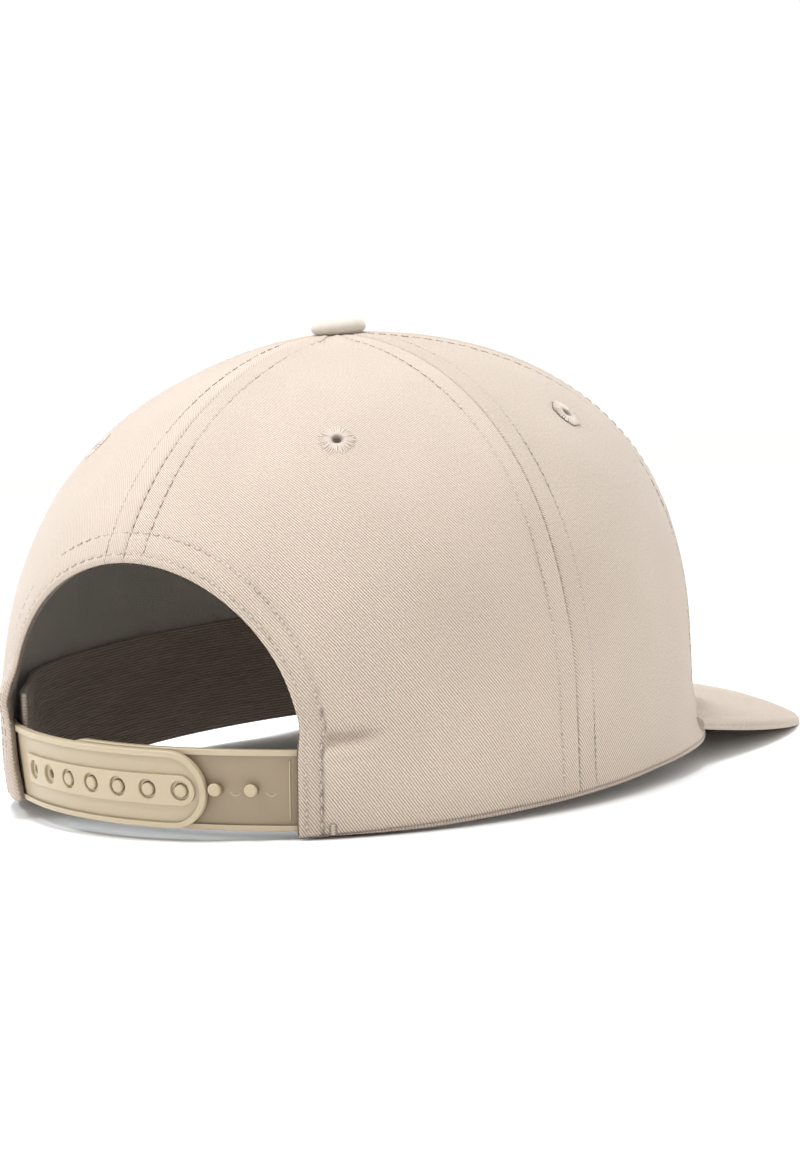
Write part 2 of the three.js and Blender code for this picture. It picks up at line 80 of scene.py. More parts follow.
# Back opening
ARCH_HALF_WIDTH = 45.7
ARCH_RISE = 42.3
ARCH_UPRIGHT = 24
ARCH_TOP = ARCH_UPRIGHT + ARCH_RISE
ARCH_SIDE_SHARE = 0.84
HEM_LEAN = 2.0
HEM_NEAR = 147.4
HEM_TAPE_WIDTH = 9
LEFT_FOOT_LIFT = 4.2
LEFT_FOOT_AT = 208

# Twill ribs: their pitch, and how they run across the cut and up it
RIB_PITCH = 0.57
RIB_ACROSS = 0.766
RIB_UP = 0.463
RIB_BEND = 0.0018

# Stitching
SEAM_ROW = 6.0
STITCH_PITCH = 3.1
STITCH_LENGTH = 2.3
STITCH_RADIUS = 0.17
STITCH_RINGS = 7
TUBE_SIDES = 6
DASH_PITCH = 2.7
DASH_LENGTH = 1.4
DASH_RADIUS = 0.13
DASH_POINTS = 260

# Peak
PEAK_LENGTH = 64
PEAK_HALF_WIDTH = 78.5
PEAK_THICKNESS = 3.1
PEAK_TILT = 11.3
PEAK_CAMBER = 9
PEAK_ROOT_ANGLE = 62
PEAK_ROOT_HEIGHT = 5.5
PEAK_SIDE_POWER = 2.72
PEAK_FRONT_POWER = 2.62
PEAK_SEAT = 0.5
PEAK_ROOT_DEPTH = 1.0
PEAK_FILLET = 2.0
PEAK_FILLET_WIDTH = 9
PEAK_CREST = 2.0
PEAK_ROWS = (7, 14, 21, 28, 35, 42)
PEAK_GROOVE = 0.04

# Button and eyelets
BUTTON_AT = (-1.1, -0.8)
BUTTON_RADIUS = 7.3
BUTTON_DOME = 5.3
BUTTON_WAIST = 1.4
BUTTON_SIDES = 96
EYELET_HEIGHT = 91.4
EYELET_RADIUS = 4.6
EYELET_HOLE = 0.95
EYELET_CUT = 2.3
EYELET_STITCHES = 40
EYELET_ANGLES = {"front": 28, "side": 78.5, "back": 139.3}

# Sweatband and the tape behind the arch
BAND_HEIGHT = 32
BAND_DROP = 1
BAND_THICKNESS = 1.2
BAND_STEP = 19
RIM_PER_DEGREE = 1.62
TAPE_SEAT = 0.6
TAPE_GAP = 0.1
FACING_WIDTH = 12
FACING_THICKNESS = 0.8
FACING_LOW = 24.8
FACING_POINTS = 161

# Strap, along the rim from the back centre towards the wearer's left
STRAP_MIDDLE = 13.3
STRAP_SLOPE = 0.032
STRAP_SAG = 0.00035
OUTER_HEIGHT = 18.9
INNER_HEIGHT = 19.7
STRAP_PLATE = 1.2
PLATE_ROUNDING = 0.25
RAIL_WIDTH = 1.1
RAIL_HEIGHT = 0.7
RAISED_FOOT = -0.3
BAR_HALF = 3.7
STRAP_TAB = 12
INNER_FACE = 2.8
OUTER_FACE = 0.6
SNAP_PITCH = 8.78
HOLES = tuple(33.8 - SNAP_PITCH * hole for hole in range(7))
PEGS = tuple(HOLES[6] - SNAP_PITCH * (2 - peg) for peg in range(7))
OUTER_END = HOLES[6] - 6.4
INNER_END = PEGS[6] + 4.9
STOP_RIB = -45.2
STOP_HALF = 7.2
PEG_LEAN = 0.22
LEFT_END_PUSH = 2.9
BAND_END_PUSH = 2.4

# The rolled edge under the rim
ROLL_DEPTH = 0.9
ROLL_LOW = 0.42
ROLL_HALF = (0.8, 0.58)
ROLL_SIDES = 10

# The photograph's camera, in the cap's frame
CAMERA_PLACE = (-417.5, 556.8, 130.45)
CAMERA_TURNS = ((REST_TILT, "X"), (180 + 35.74, "Z"), (90 - 5.96, "X"), (-4.13, "Z"))
FOCAL_PIXELS = 2586.2
AXIS_ABOVE_CENTRE = 33
PICTURE_HEIGHT = 1155
SENSOR = 36

# Lights, in metres: name, place, size, power, colour
LIGHTS = (
    ("key", (0.6, 0.9, 1.3), 0.3, 8.5, (0.97, 1.0, 1.06)),
    ("top", (0.1, 0.1, 1.5), 0.8, 20.5, (0.93, 1.0, 1.07)),
    ("side", (-0.45, -0.45, 1.5), 0.8, 1.5, (1, 1, 1)),
)
LIGHTS_AIM = (0, 0.03, 0.06)
WORLD_COLOUR = (1.0, 0.985, 0.965, 1.0)
WORLD_STRENGTH = 0.92


def smooth(value, low, high):
    part = np.clip((value - low) / (high - low), 0, 1)
    return part * part * (3 - 2 * part)


def bump_at(value, spread):
    return np.exp(-((value / spread) ** 2))


def unit(vectors):
    return vectors / np.linalg.norm(vectors, axis=-1, keepdims=True)


def run_along(line):
    """The length along a line up to each of its points."""
    return np.concatenate([[0], np.cumsum(np.linalg.norm(np.diff(line, axis=0), axis=1))])


def arc(start, stop, count):
    return np.radians(np.linspace(start, stop, count))


def full_turn(count):
    return np.linspace(0, 2 * np.pi, count + 1)[:-1]


def upright_basis(normal):
    """A level direction, the one up along the surface and the normal itself."""
    level = unit(np.cross([0, 0, 1.0], normal))
    return np.stack([level, np.cross(normal, level), normal])


def both_ways(row, column):
    """Two directions as one grid of coordinates."""
    return np.stack(np.broadcast_arrays(row, column), -1)


# Crown surface

def powers(angle):
    forward = (1 + np.cos(np.radians(angle))) / 2
    return tuple(back + (front - back) * forward for front, back in zip(FRONT_POWERS, BACK_POWERS))


def reach(angle, share):
    height_power, reach_power = powers(angle)
    risen = np.clip(share, 0, 1)
    return (1 - risen**height_power) ** (1 / reach_power) * (1 + 4 * BULGE * risen * (1 - risen))


def share_at_turn(angle, turn):
    return np.sin(np.radians(turn)) ** (2 / powers(angle)[0])


def turn_at_share(angle, share):
    return np.degrees(np.arcsin(np.clip(share, 0, 1) ** (powers(angle)[0] / 2)))


def on_side(angle, sign):
    """An angle of the wearer's right side, or its mirror on the left."""
    return angle if sign > 0 else 360 - angle


def cloth_out(angle, share):
    """How far the flare above the peak and the dents push the cloth out."""
    from_front = np.abs((np.asarray(angle) + 180) % 360 - 180)
    fade = 1 - smooth(from_front, PEAK_ROOT_ANGLE - 2, PEAK_ROOT_ANGLE - 2 + FLARE_FADE)
    low = np.clip(1 - share * CROWN_HEIGHT / FLARE_HEIGHT, 0, 1)
    out = FLARE * fade * low * low
    for dent_angle, height, push, angle_spread, height_spread in DENTS:
        near = bump_at(angle - dent_angle, angle_spread) * bump_at(share - height, height_spread)
        out = out + push * CROWN_HEIGHT * near
    return out


def shell(angle, share, depth, out):
    """Points at shares of the crown's height, a depth below its outer face and pushed out."""
    ring = reach(angle, share)
    across = (RIM_WIDTH / 2 - depth) * ring + out
    along = (RIM_LENGTH / 2 - depth) * ring + out
    turn = np.radians(angle)
    up = share * (CROWN_HEIGHT - depth)
    return np.stack(np.broadcast_arrays(-across * np.sin(turn), -along * np.cos(turn), up), -1)


def pushed(angle, share, depth=0.0):
    """Points below the cloth's outer face, with its flare and dents."""
    return shell(angle, share, depth, cloth_out(angle, share))


def length_per_degree(angle, share):
    turn = np.radians(angle)
    around = np.hypot(RIM_WIDTH / 2 * np.cos(turn), RIM_LENGTH / 2 * np.sin(turn))
    return np.radians(around * reach(angle, share))


RIM_ANGLES = np.linspace(0, 360, 1441)
RIM_LENGTHS = length_per_degree((RIM_ANGLES[1:] + RIM_ANGLES[:-1]) / 2, 0) * RIM_ANGLES[1]
RIM_PLACES = np.concatenate([[0], np.cumsum(RIM_LENGTHS)])
RIM_PLACES = RIM_PLACES - np.interp(180, RIM_ANGLES, RIM_PLACES)


def angle_along(place):
    return np.interp(place, RIM_PLACES, RIM_ANGLES)


def place_at(angle):
    return np.interp(angle, RIM_ANGLES, RIM_PLACES)


def outward(angle, share):
    """The cloth's unit normal."""
    turn, rise = 0.4, 0.004
    aside = pushed(angle + turn, share) - pushed(angle - turn, share)
    up = pushed(angle, share + rise) - pushed(angle, share - rise)
    return unit(np.cross(up, aside))


def on_cloth(angle, share, relief=0.0):
    return pushed(angle, share) + np.asarray(relief)[..., None] * outward(angle, share)


# Meshes

def linked(name, data):
    """A new object in the scene."""
    thing = bpy.data.objects.new(name, data)
    bpy.context.scene.collection.objects.link(thing)
    return thing


def at_rest(points):
    """Points of the cap's frame, in millimetres, at their place at rest, in metres."""
    x, y, z = np.moveaxis(np.asarray(points, float), -1, 0)
    cos, sin = math.cos(math.radians(REST_TILT)), math.sin(math.radians(REST_TILT))
    return (np.stack([x, cos * y - sin * z, sin * y + cos * z], -1) + np.array(REST_SHIFT)) / 1000


def draw_up(points):
    """Cloth points with the left hem's foot drawn up to the strap."""
    points = np.array(points, float)
    turn = np.degrees(np.arctan2(-points[..., 0] / RIM_WIDTH, -points[..., 1] / RIM_LENGTH)) % 360
    near = 1 - smooth(np.abs(turn - LEFT_FOOT_AT), 6, 24)
    points[..., 2] += LEFT_FOOT_LIFT * near * (1 - smooth(points[..., 2], 0, 22))
    return points


def new_piece(name, points, faces, materials, slot, node=None, uv=None, tone=None, material_of=None):
    """A piece that rides on the cap, from points in the cap's frame and faces as lists of indices."""
    mesh = bpy.data.meshes.new(name)
    rest = at_rest(points if slot == "strap_plastic" else draw_up(points))
    rest[..., 2] = np.maximum(rest[..., 2], 0)
    mesh.from_pydata(rest.tolist(), [], faces)
    mesh.shade_smooth()
    for material in materials:
        mesh.materials.append(material)
    if material_of is not None:
        mesh.polygons.foreach_set("material_index", np.asarray(material_of, np.int32))
    if uv is not None:
        corner_points = np.empty(len(mesh.loops), np.int32)
        mesh.loops.foreach_get("vertex_index", corner_points)
        layer = mesh.uv_layers.new(name="Cut")
        layer.data.foreach_set("uv", np.asarray(uv, np.float32)[corner_points].ravel())
    if tone is not None:
        # The tone is stored as a point attribute: painted shade, and below zero on the twill painted light
        # that evens its ribs.
        attribute = mesh.attributes.new("painted_shading", "FLOAT", "POINT")
        attribute.data.foreach_set("value", np.asarray(tone, np.float32).ravel())
    piece = linked(name, mesh)
    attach(piece, "root")
    if node:
        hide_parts(node)
    return piece


def sheet_faces(rows, columns, keep=None, closed=False):
    """The quads of a grid of points, or of its kept cells. A closed grid's rows run round."""
    row, column = np.meshgrid(np.arange(rows - 1), np.arange(columns if closed else columns - 1),
                              indexing="ij")
    ahead = (column + 1) % columns
    quads = np.stack([row * columns + column, row * columns + ahead, (row + 1) * columns + ahead,
                      (row + 1) * columns + column], -1).reshape(-1, 4)
    return quads if keep is None else quads[keep.ravel()]


def thick_sheet(name, outer, inner, materials, slot, node=None, keep=None, uv=None, tone=None):
    """A sheet with two faces and closed edges, from two grids of points."""
    rows, columns = outer.shape[:2]
    quads = sheet_faces(rows, columns, keep)
    count = rows * columns
    edges = np.concatenate([quads[:, [k, (k + 1) % 4]] for k in range(4)])
    _, first, quads_beside = np.unique(np.sort(edges, axis=1), axis=0, return_index=True, return_counts=True)
    start, end = edges[first[quads_beside == 1]].T
    rim = np.stack([end, start, start + count, end + count], -1)
    faces = np.concatenate([quads, quads[:, ::-1] + count, rim])
    material_of = np.repeat([0, len(materials) - 1, 0], [len(quads), len(quads), len(rim)])
    used, places = np.unique(faces, return_inverse=True)

    def both(values, width):
        return None if values is None else np.concatenate([values.reshape(-1, width)] * 2)[used]

    points = np.concatenate([outer.reshape(-1, 3), inner.reshape(-1, 3)])[used]
    new_piece(name, points, places.reshape(faces.shape).tolist(), materials, slot, node, both(uv, 2),
              both(tone, 1), material_of)


def merged(parts):
    """One list of points, faces and tones from several."""
    points, faces, tones, start = [], [], [], 0
    for part_points, part_faces, part_tone in parts:
        points.append(part_points)
        faces.extend([int(index) + start for index in face] for face in part_faces)
        tones.append(np.broadcast_to(part_tone, len(part_points)))
        start += len(part_points)
    return np.concatenate(points), faces, np.concatenate(tones)


def tube(centre, aside, up, thick):
    """Points of rings around a centre line."""
    turns = full_turn(TUBE_SIDES)[:, None]
    ring = np.cos(turns) * aside[..., None, :] + np.sin(turns) * up[..., None, :]
    return (centre[..., None, :] + thick[:, None, None] * ring).reshape(-1, 3)


def stitches(line, normals, pitch=STITCH_PITCH, length=STITCH_LENGTH, radius=STITCH_RADIUS, dark=0.0):
    """Thread stitches along a line on the cloth, their ends dipping into it, with painted shade on the ends.
    """
    run = run_along(line)
    count = max(int(run[-1] / pitch), 1)
    start = (np.arange(count) + 0.5) * run[-1] / count - length / 2
    along = np.linspace(0, 1, STITCH_RINGS)
    at = start[:, None] + along * length
    centre, normal = (np.stack([np.interp(at, run, values[:, k]) for k in range(3)], -1)
                      for values in (line, normals))
    normal = unit(normal)
    aside = np.cross(unit(np.gradient(centre, axis=1)), normal)
    from_middle = 2 * along - 1
    thick = radius * (0.25 + 0.75 * (1 - from_middle**6))
    lift = radius * (1.5 * (1 - from_middle**4) - 0.9) - 0.05
    faces = sheet_faces(STITCH_RINGS, TUBE_SIDES, closed=True)
    faces = faces[None] + (np.arange(count) * STITCH_RINGS * TUBE_SIDES)[:, None, None]
    # Painted shade along each stitch, darkest at its ends; dark sets its least.
    tone = np.maximum(dark, [0.8, 0.7, 0.1, 0, 0.1, 0.7, 0.8])
    return (tube(centre + lift[:, None] * normal, aside, normal, thick), faces.reshape(-1, 4),
            np.tile(np.repeat(tone, TUBE_SIDES), count))


# Materials

class Nodes:
    """A short way to wire a material's nodes."""

    def __init__(self, name):
        self.material = bpy.data.materials.new(name)
        self.material.use_nodes = True
        self.tree = self.material.node_tree
        self.shader = self.tree.nodes["Principled BSDF"]

    def add(self, kind, inputs=None, **settings):
        node = self.tree.nodes.new("ShaderNode" + kind)
        for key, value in settings.items():
            setattr(node, key, value)
        for key, value in (inputs or {}).items():
            self.put(node.inputs[key], value)
        return node

    def put(self, socket, value):
        if isinstance(value, bpy.types.NodeSocket):
            self.tree.links.new(value, socket)
        else:
            socket.default_value = value

    def math(self, operation, *values):
        return self.add("Math", dict(enumerate(values)), operation=operation).outputs[0]

    def plus(self, first, second):
        return self.math("ADD", first, second)

    def times(self, first, second):
        return self.math("MULTIPLY", first, second)

    def line(self, value, factor, start):
        return self.math("MULTIPLY_ADD", value, factor, start)

    def wave(self, turns, factor=0.5, start=0.5):
        return self.line(self.math("SINE", self.times(turns, math.tau)), factor, start)

    def blend(self, part, first, second):
        return self.add("Mix", {0: part, 6: first, 7: second}, data_type="RGBA").outputs[2]

    def noise(self, vector, scale, detail=3.0):
        return self.add("TexNoise", {"Vector": vector, "Scale": scale, "Detail": detail}).outputs["Fac"]

    def bump(self, height, distance, strength=1.0):
        return self.add("Bump", {"Height": height, "Distance": distance, "Strength": strength}).outputs[0]

    def painted_shading(self):
        return self.add("Attribute", attribute_name="painted_shading").outputs["Fac"]

    def place(self):
        return self.add("TexCoord").outputs["Object"]

    def cut(self):
        """The cut's coordinates, together and apart."""
        cut = self.add("UVMap", uv_map="Cut").outputs[0]
        apart = self.add("SeparateXYZ", {0: cut})
        return cut, apart.outputs[0], apart.outputs[1]

    def look(self, **values):
        for key, value in values.items():
            self.put(self.shader.inputs[key.replace("_", " ")], value)
        return self.material


def srgb(red, green, blue):
    channels = [value / 255 for value in (red, green, blue)]
    return tuple(c / 12.92 if c <= 0.04045 else ((c + 0.055) / 1.055) ** 2.4 for c in channels) + (1.0,)


def dimmed(colour, share):
    return tuple(c * share for c in colour[:3]) + (1.0,)


def twill(name, light, dark, hand, depth, painted_shade_strength):
    """Woven cloth with slanting ribs that lie flatter further up. The cut's coordinates are millimetres.

    The tone value paints shade into the cloth above zero, and below zero evens the ribs out as painted light
    where the light falls straight on them.
    """
    n = Nodes(name)
    cut, across, up = n.cut()
    sway = n.times(n.noise(cut, 0.35, 2.0), 0.5)
    bend = n.times(up, n.line(up, -RIB_BEND / RIB_PITCH, -RIB_UP / RIB_PITCH))
    over = n.plus(n.line(across, hand * RIB_ACROSS / RIB_PITCH, bend), sway)
    down = n.line(up, RIB_ACROSS / RIB_PITCH, n.times(across, hand * RIB_UP / RIB_PITCH))
    floats = n.wave(n.plus(n.times(down, 1.9), n.times(over, 0.5)))
    weave = n.times(n.wave(over), n.line(floats, 0.3, 0.7))
    slub = n.noise(cut, 1.7, 4.0)
    fine = n.line(weave, 0.82, n.line(slub, 0.5, -0.09))
    # The tone: painted shade above zero; below zero painted light, evening the ribs out where the light falls
    # straight on them.
    painted_shading = n.painted_shading()
    painted_lit_evening = n.math("MAXIMUM", n.times(painted_shading, -1.0), 0.0)
    fine = n.plus(n.times(fine, n.math("SUBTRACT", 1.0, painted_lit_evening)), n.times(painted_lit_evening, 0.52))
    wide = n.line(n.noise(cut, 0.03, 2.0), 0.16, 0.9)
    wide = n.add("CombineXYZ", {0: wide, 1: wide, 2: wide}).outputs[0]
    colour = n.add("VectorMath", {0: n.blend(fine, dark, light), 1: wide}, operation="MULTIPLY").outputs[0]
    # Painted shade: the tone above zero darkens the cloth.
    shade = n.math("MAXIMUM", n.times(painted_shading, painted_shade_strength), 0.0)
    return n.look(Base_Color=n.blend(shade, colour, dimmed(dark, 0.3)), Roughness=0.88, Sheen_Weight=0.25,
                  Sheen_Roughness=0.4, Specular_IOR_Level=0.25,
                  Normal=n.bump(n.plus(weave, n.times(slub, 0.35)), depth))


def ribbed(name, light, dark, pitch):
    """Woven tape with ribs along its length."""
    n = Nodes(name)
    cut, across, up = n.cut()
    over = n.plus(n.times(up, 1 / pitch), n.times(n.noise(cut, 0.4), 0.4))
    weave = n.times(n.wave(over), n.wave(n.times(across, 1 / (0.7 * pitch)), 0.2, 0.8))
    return n.look(Base_Color=n.blend(weave, dark, light), Roughness=0.92, Sheen_Weight=0.2,
                  Specular_IOR_Level=0.2, Normal=n.bump(weave, 0.0002))


def thread(name, light, dark):
    """Twisted sewing thread."""
    n = Nodes(name)
    place = n.place()
    twist = n.add("TexWave", {"Vector": place, "Scale": 900.0, "Distortion": 1.0}, bands_direction="DIAGONAL")
    colour = n.blend(n.line(n.noise(place, 300.0), 0.7, 0.1), dark, light)
    # Painted shade: the tone darkens the thread.
    return n.look(Base_Color=n.blend(n.painted_shading(), colour, dimmed(dark, 0.3)), Roughness=0.7, Sheen_Weight=0.2,
                  Normal=n.bump(twist.outputs["Fac"], 0.00006, 0.6))


def plastic(name, raised, floor):
    """Moulded strap plastic, slightly see-through, with painted shade that darkens the floor of its plates.
    """
    n = Nodes(name)
    place = n.place()
    # Painted shade from the tone, plus a little random tone.
    painted_floor_shade = n.plus(n.painted_shading(), n.line(n.noise(place, 60.0), 0.16, -0.08))
    return n.look(Base_Color=n.blend(painted_floor_shade, raised, floor), Roughness=0.42,
                  Subsurface_Weight=0.25, Subsurface_Radius=(0.6, 0.45, 0.3), Subsurface_Scale=0.002,
                  Specular_IOR_Level=0.45, Normal=n.bump(n.noise(place, 2600.0, 2.0), 0.00002, 0.35))


# The last number sets how strongly painted shade darkens each twill.
TWILL = twill("twill", srgb(221, 208, 194), srgb(137, 113, 94), 1, 0.0001, 0.8)
BUTTON_TWILL = twill("button_twill", srgb(207, 200, 190), srgb(198, 188, 177), 1, 0.00001, 0.8)
LINING = twill("twill_inside", srgb(222, 216, 208), srgb(198, 188, 176), -1, 0.00008, 0.3)
FACING = ribbed("arch_tape", srgb(160, 143, 129), srgb(104, 88, 76), 0.9)
BAND = ribbed("sweatband_tape", srgb(206, 191, 178), srgb(160, 142, 130), 0.8)
THREAD = thread("thread", srgb(208, 196, 184), srgb(180, 164, 149))
# The second colour is the painted shade on the strap plates' floors.
PLASTIC = plastic("strap_plastic", srgb(178, 162, 135), srgb(132, 113, 89))


# Crown panels

SEAM_STEPS = np.array([0, 0.2, 0.45, 0.8, 1.2, 1.8, 2.8, 4, 5, 5.5, 5.8, 6, 6.2, 6.5, 7, 8])
HEM_STEPS = np.array([0, 0.2, 0.45, 0.8, 1.2, 1.6, 1.9, 2.2, 2.7, 3.5, 4.8, 5.8, 6.3, 6.6, 6.9, 7.4, 8.5,
                      10, 12])
RIM_STEPS = np.array([0, 0.25, 0.5, 0.8, 1.2, 1.8, 2.6, 3.6, 5])


def seam_scale(share, start, stop):
    """Near the top the rows beside a seam draw together."""
    gore = (stop - start) * length_per_degree((start + stop) / 2, share)
    return np.minimum(1, 0.84 * gore / (2 * SEAM_STEPS[-1]))


def seam_offset(angle, share, start, stop):
    return SEAM_STEPS * (seam_scale(share, start, stop) / length_per_degree(angle, share))[..., None]


def seam_relief(distance, run, height):
    """The cloth dips at a seam, its row and the rim, rises over the folded edge and gathers a little."""
    fold = 0.14 * smooth(distance, 0.3, 1.2) * (1 - smooth(distance, SEAM_ROW - 0.3, SEAM_ROW + 1.4))
    near = bump_at(distance - SEAM_ROW, 2.4) + 0.6 * bump_at(distance, 2.0)
    pucker = 0.045 * near * (np.sin(run * 1.05) + 0.6 * np.sin(run * 0.61 + 1.3))
    dips = (0.3 * bump_at(distance, 0.36) + 0.13 * bump_at(distance - SEAM_ROW, 0.42)
            + 0.55 * bump_at(height, 0.55))
    return fold + pucker - dips


def seam_painted_shade(distance, height):
    """Painted shade in the grooves at a seam, its row and the rim."""
    seam = np.maximum(0.24 * bump_at(distance, 0.24), 0.15 * bump_at(distance - SEAM_ROW, 0.34))
    return np.maximum(seam, 0.5 * bump_at(height, 0.35))


def soft_waves(angle, share):
    """Faint unevenness of the cloth, in millimetres."""
    a, s = np.radians(angle), share * 6
    wide = 0.1 * np.sin(9 * a + 2.1 * s) + 0.08 * np.sin(14 * a - 3.3 * s + 1)
    return wide + 0.07 * np.sin(23 * a + 1.7 * s + 2)


def cut_coordinates(angle, share, middle):
    """Millimetres across from the panel's middle and up along it."""
    shares = np.linspace(0, 0.9999, 400)
    across = (place_at(angle) - place_at(middle)) * reach(angle, share)
    return np.stack([across, np.interp(share, shares, run_along(shell(middle, shares, 0, 0)))], -1)


def eyelet_spot(spot, side):
    return float(on_side(EYELET_ANGLES[spot], SIGNS[side])), EYELET_HEIGHT / CROWN_HEIGHT


def panel_sheet(name, side, angle, share, relief, painted_shading, depth, gap=(0, 0)):
    """A panel's cloth from grids of the wearer's right side, mirrored for the left.

    It is cut out at its eyelet, and in the rows below and the columns beyond its gap.
    """
    sign = SIGNS[side]
    keep = np.ones(np.subtract(angle.shape, 1), bool)
    keep[:gap[0], gap[1]:] = False
    angle, share, relief, painted_shading, depth, keep = (
        grid[:, ::sign] for grid in (on_side(angle, sign), share, relief, painted_shading, depth, keep))
    outer = on_cloth(angle, share, relief + soft_waves(angle, share))
    cells = (outer[1:, 1:] + outer[:-1, :-1]) / 2
    keep = keep & (np.linalg.norm(cells - pushed(*eyelet_spot(name, side)), axis=-1) > EYELET_CUT)
    uv = cut_coordinates(angle, share, float(angle.mean()))
    outer, inner, keep, uv, painted_shading = (
        grid[:, ::-1] for grid in (outer, pushed(angle, share, depth), keep, uv, painted_shading))
    thick_sheet(f"{name}_panel_cloth_{side}", outer, inner, [TWILL, LINING], "twill", f"{name}_panel_{side}",
                keep, uv, painted_shading)


def closed_panel(name, start, stop, side):
    middle = (start + stop) / 2
    turns = np.linspace(turn_at_share(middle, RIM_STEPS[-1] / CROWN_HEIGHT), TOP_TURN, 110)[1:]
    share = np.concatenate([RIM_STEPS / CROWN_HEIGHT, share_at_turn(middle, turns)])
    low = start + seam_offset(start, share, start, stop)
    high = stop - seam_offset(stop, share, start, stop)[:, ::-1]
    between = np.linspace(0, 1, 62)[1:-1]
    angle = np.concatenate([low, low[:, -1:] + (high[:, :1] - low[:, -1:]) * between, high], 1)
    distance = np.concatenate([SEAM_STEPS, np.full(len(between), 20.0), SEAM_STEPS[::-1]])
    share = np.where(share[:, None] * CROWN_HEIGHT <= RIM_STEPS[-1] + 0.01, share[:, None],
                     share_at_turn(angle, turn_at_share(middle, share)[:, None]))
    height = share * CROWN_HEIGHT
    relief = seam_relief(distance, cut_coordinates(angle, share, middle)[..., 1], height)
    panel_sheet(name, side, angle, share, relief, seam_painted_shade(distance, height), np.full(angle.shape, CLOTH))


# Back panels and the arch

def hem_edge(height):
    """How far from the middle the opening's edge lies: upright parts that lean in at the rim."""
    return ARCH_HALF_WIDTH - HEM_LEAN * (1 - np.clip(height / ARCH_UPRIGHT, 0, 1))


def arch_row_setbacks(height):
    """How far the two stitch rows lie from the opening's edge."""
    return 1.8 + 0 * height, 5.1 + 1.5 * smooth(height, 28, 58)


def cloth_depth(setback):
    """The cloth's thickness, less at the folded edge of the opening."""
    return CLOTH * (0.45 + 0.55 * smooth(setback, 0, 2.5))


def across_at(angle, share, sign):
    """How far the cloth lies from the middle."""
    return np.abs(pushed(on_side(angle, sign), share)[..., 0])


def back_angle(across, height, depth=0.0):
    """The angle at which the crown's wall lies so far to the wearer's left."""
    angle = np.full(np.shape(across), 180.0)
    share = height / (CROWN_HEIGHT - depth)
    for _ in range(12):
        half = (RIM_WIDTH / 2 - depth) * reach(angle, share) + cloth_out(angle, share)
        angle = 180 + np.degrees(np.arcsin(across / half))
    return angle


def hem_angle(height, sign, setback=0.0):
    """A line set back from the opening's edge, as an angle of the wearer's right side."""
    return on_side(back_angle(-sign * (hem_edge(height) + setback), height), sign)


HEM_FOOT = float(hem_angle(0.0, 1))
HEM_PLACE = float(place_at(360 - HEM_FOOT))


def arch_setback(across, height):
    """How far back from the arch's edge a point lies."""
    low, high = np.full(np.shape(across), -3.0), np.full(np.shape(across), 80.0)
    rise = np.maximum(height - ARCH_UPRIGHT, 0)
    for _ in range(22):
        middle = (low + high) / 2
        half = hem_edge(height) + ARCH_SIDE_SHARE * middle
        beyond = (across / half) ** 2 + (rise / (ARCH_RISE + middle)) ** 2 > 1
        low, high = np.where(beyond, middle, low), np.where(beyond, high, middle)
    return (low + high) / 2


def arch_relief(setback, height):
    """The folded edge of the arch, its raised strip and its two stitch rows."""
    lower = 1 - smooth(height, 26, 42)
    inner_row, outer_row = arch_row_setbacks(height)
    strip = (0.12 + 0.3 * lower) * (1 - smooth(setback, outer_row, outer_row + 0.6))
    rows = bump_at(setback - inner_row, 0.42) + bump_at(setback - outer_row, 0.42)
    ragged = 0.08 * np.sin(height * 1.7) + 0.06 * np.sin(height * 0.9 + 1)
    fold = bump_at(setback - outer_row - 0.4 - ragged, 0.3)
    return strip - 0.5 * bump_at(setback, 0.5) - 0.13 * rows - 0.25 * lower * fold


def arch_painted_shade(setback, height):
    """Painted shade in the stitch rows and in the fold along the hem, and a darker strip along the hem."""
    inner_row, outer_row = arch_row_setbacks(height)
    patchy = 0.6 + 0.3 * np.sin(height * 1.3 + np.sin(height * 0.7))
    fold = (1 - smooth(height, 28, 44)) * bump_at(setback - outer_row - 0.4, 0.25) * patchy
    strip = 0.13 * (1 - smooth(height, 26, 50)) * (1 - smooth(setback, outer_row, outer_row + 0.5))
    rows = [0.12 * bump_at(setback - row, 0.3) for row in (inner_row, outer_row)]
    return np.maximum.reduce(rows + [fold, strip])


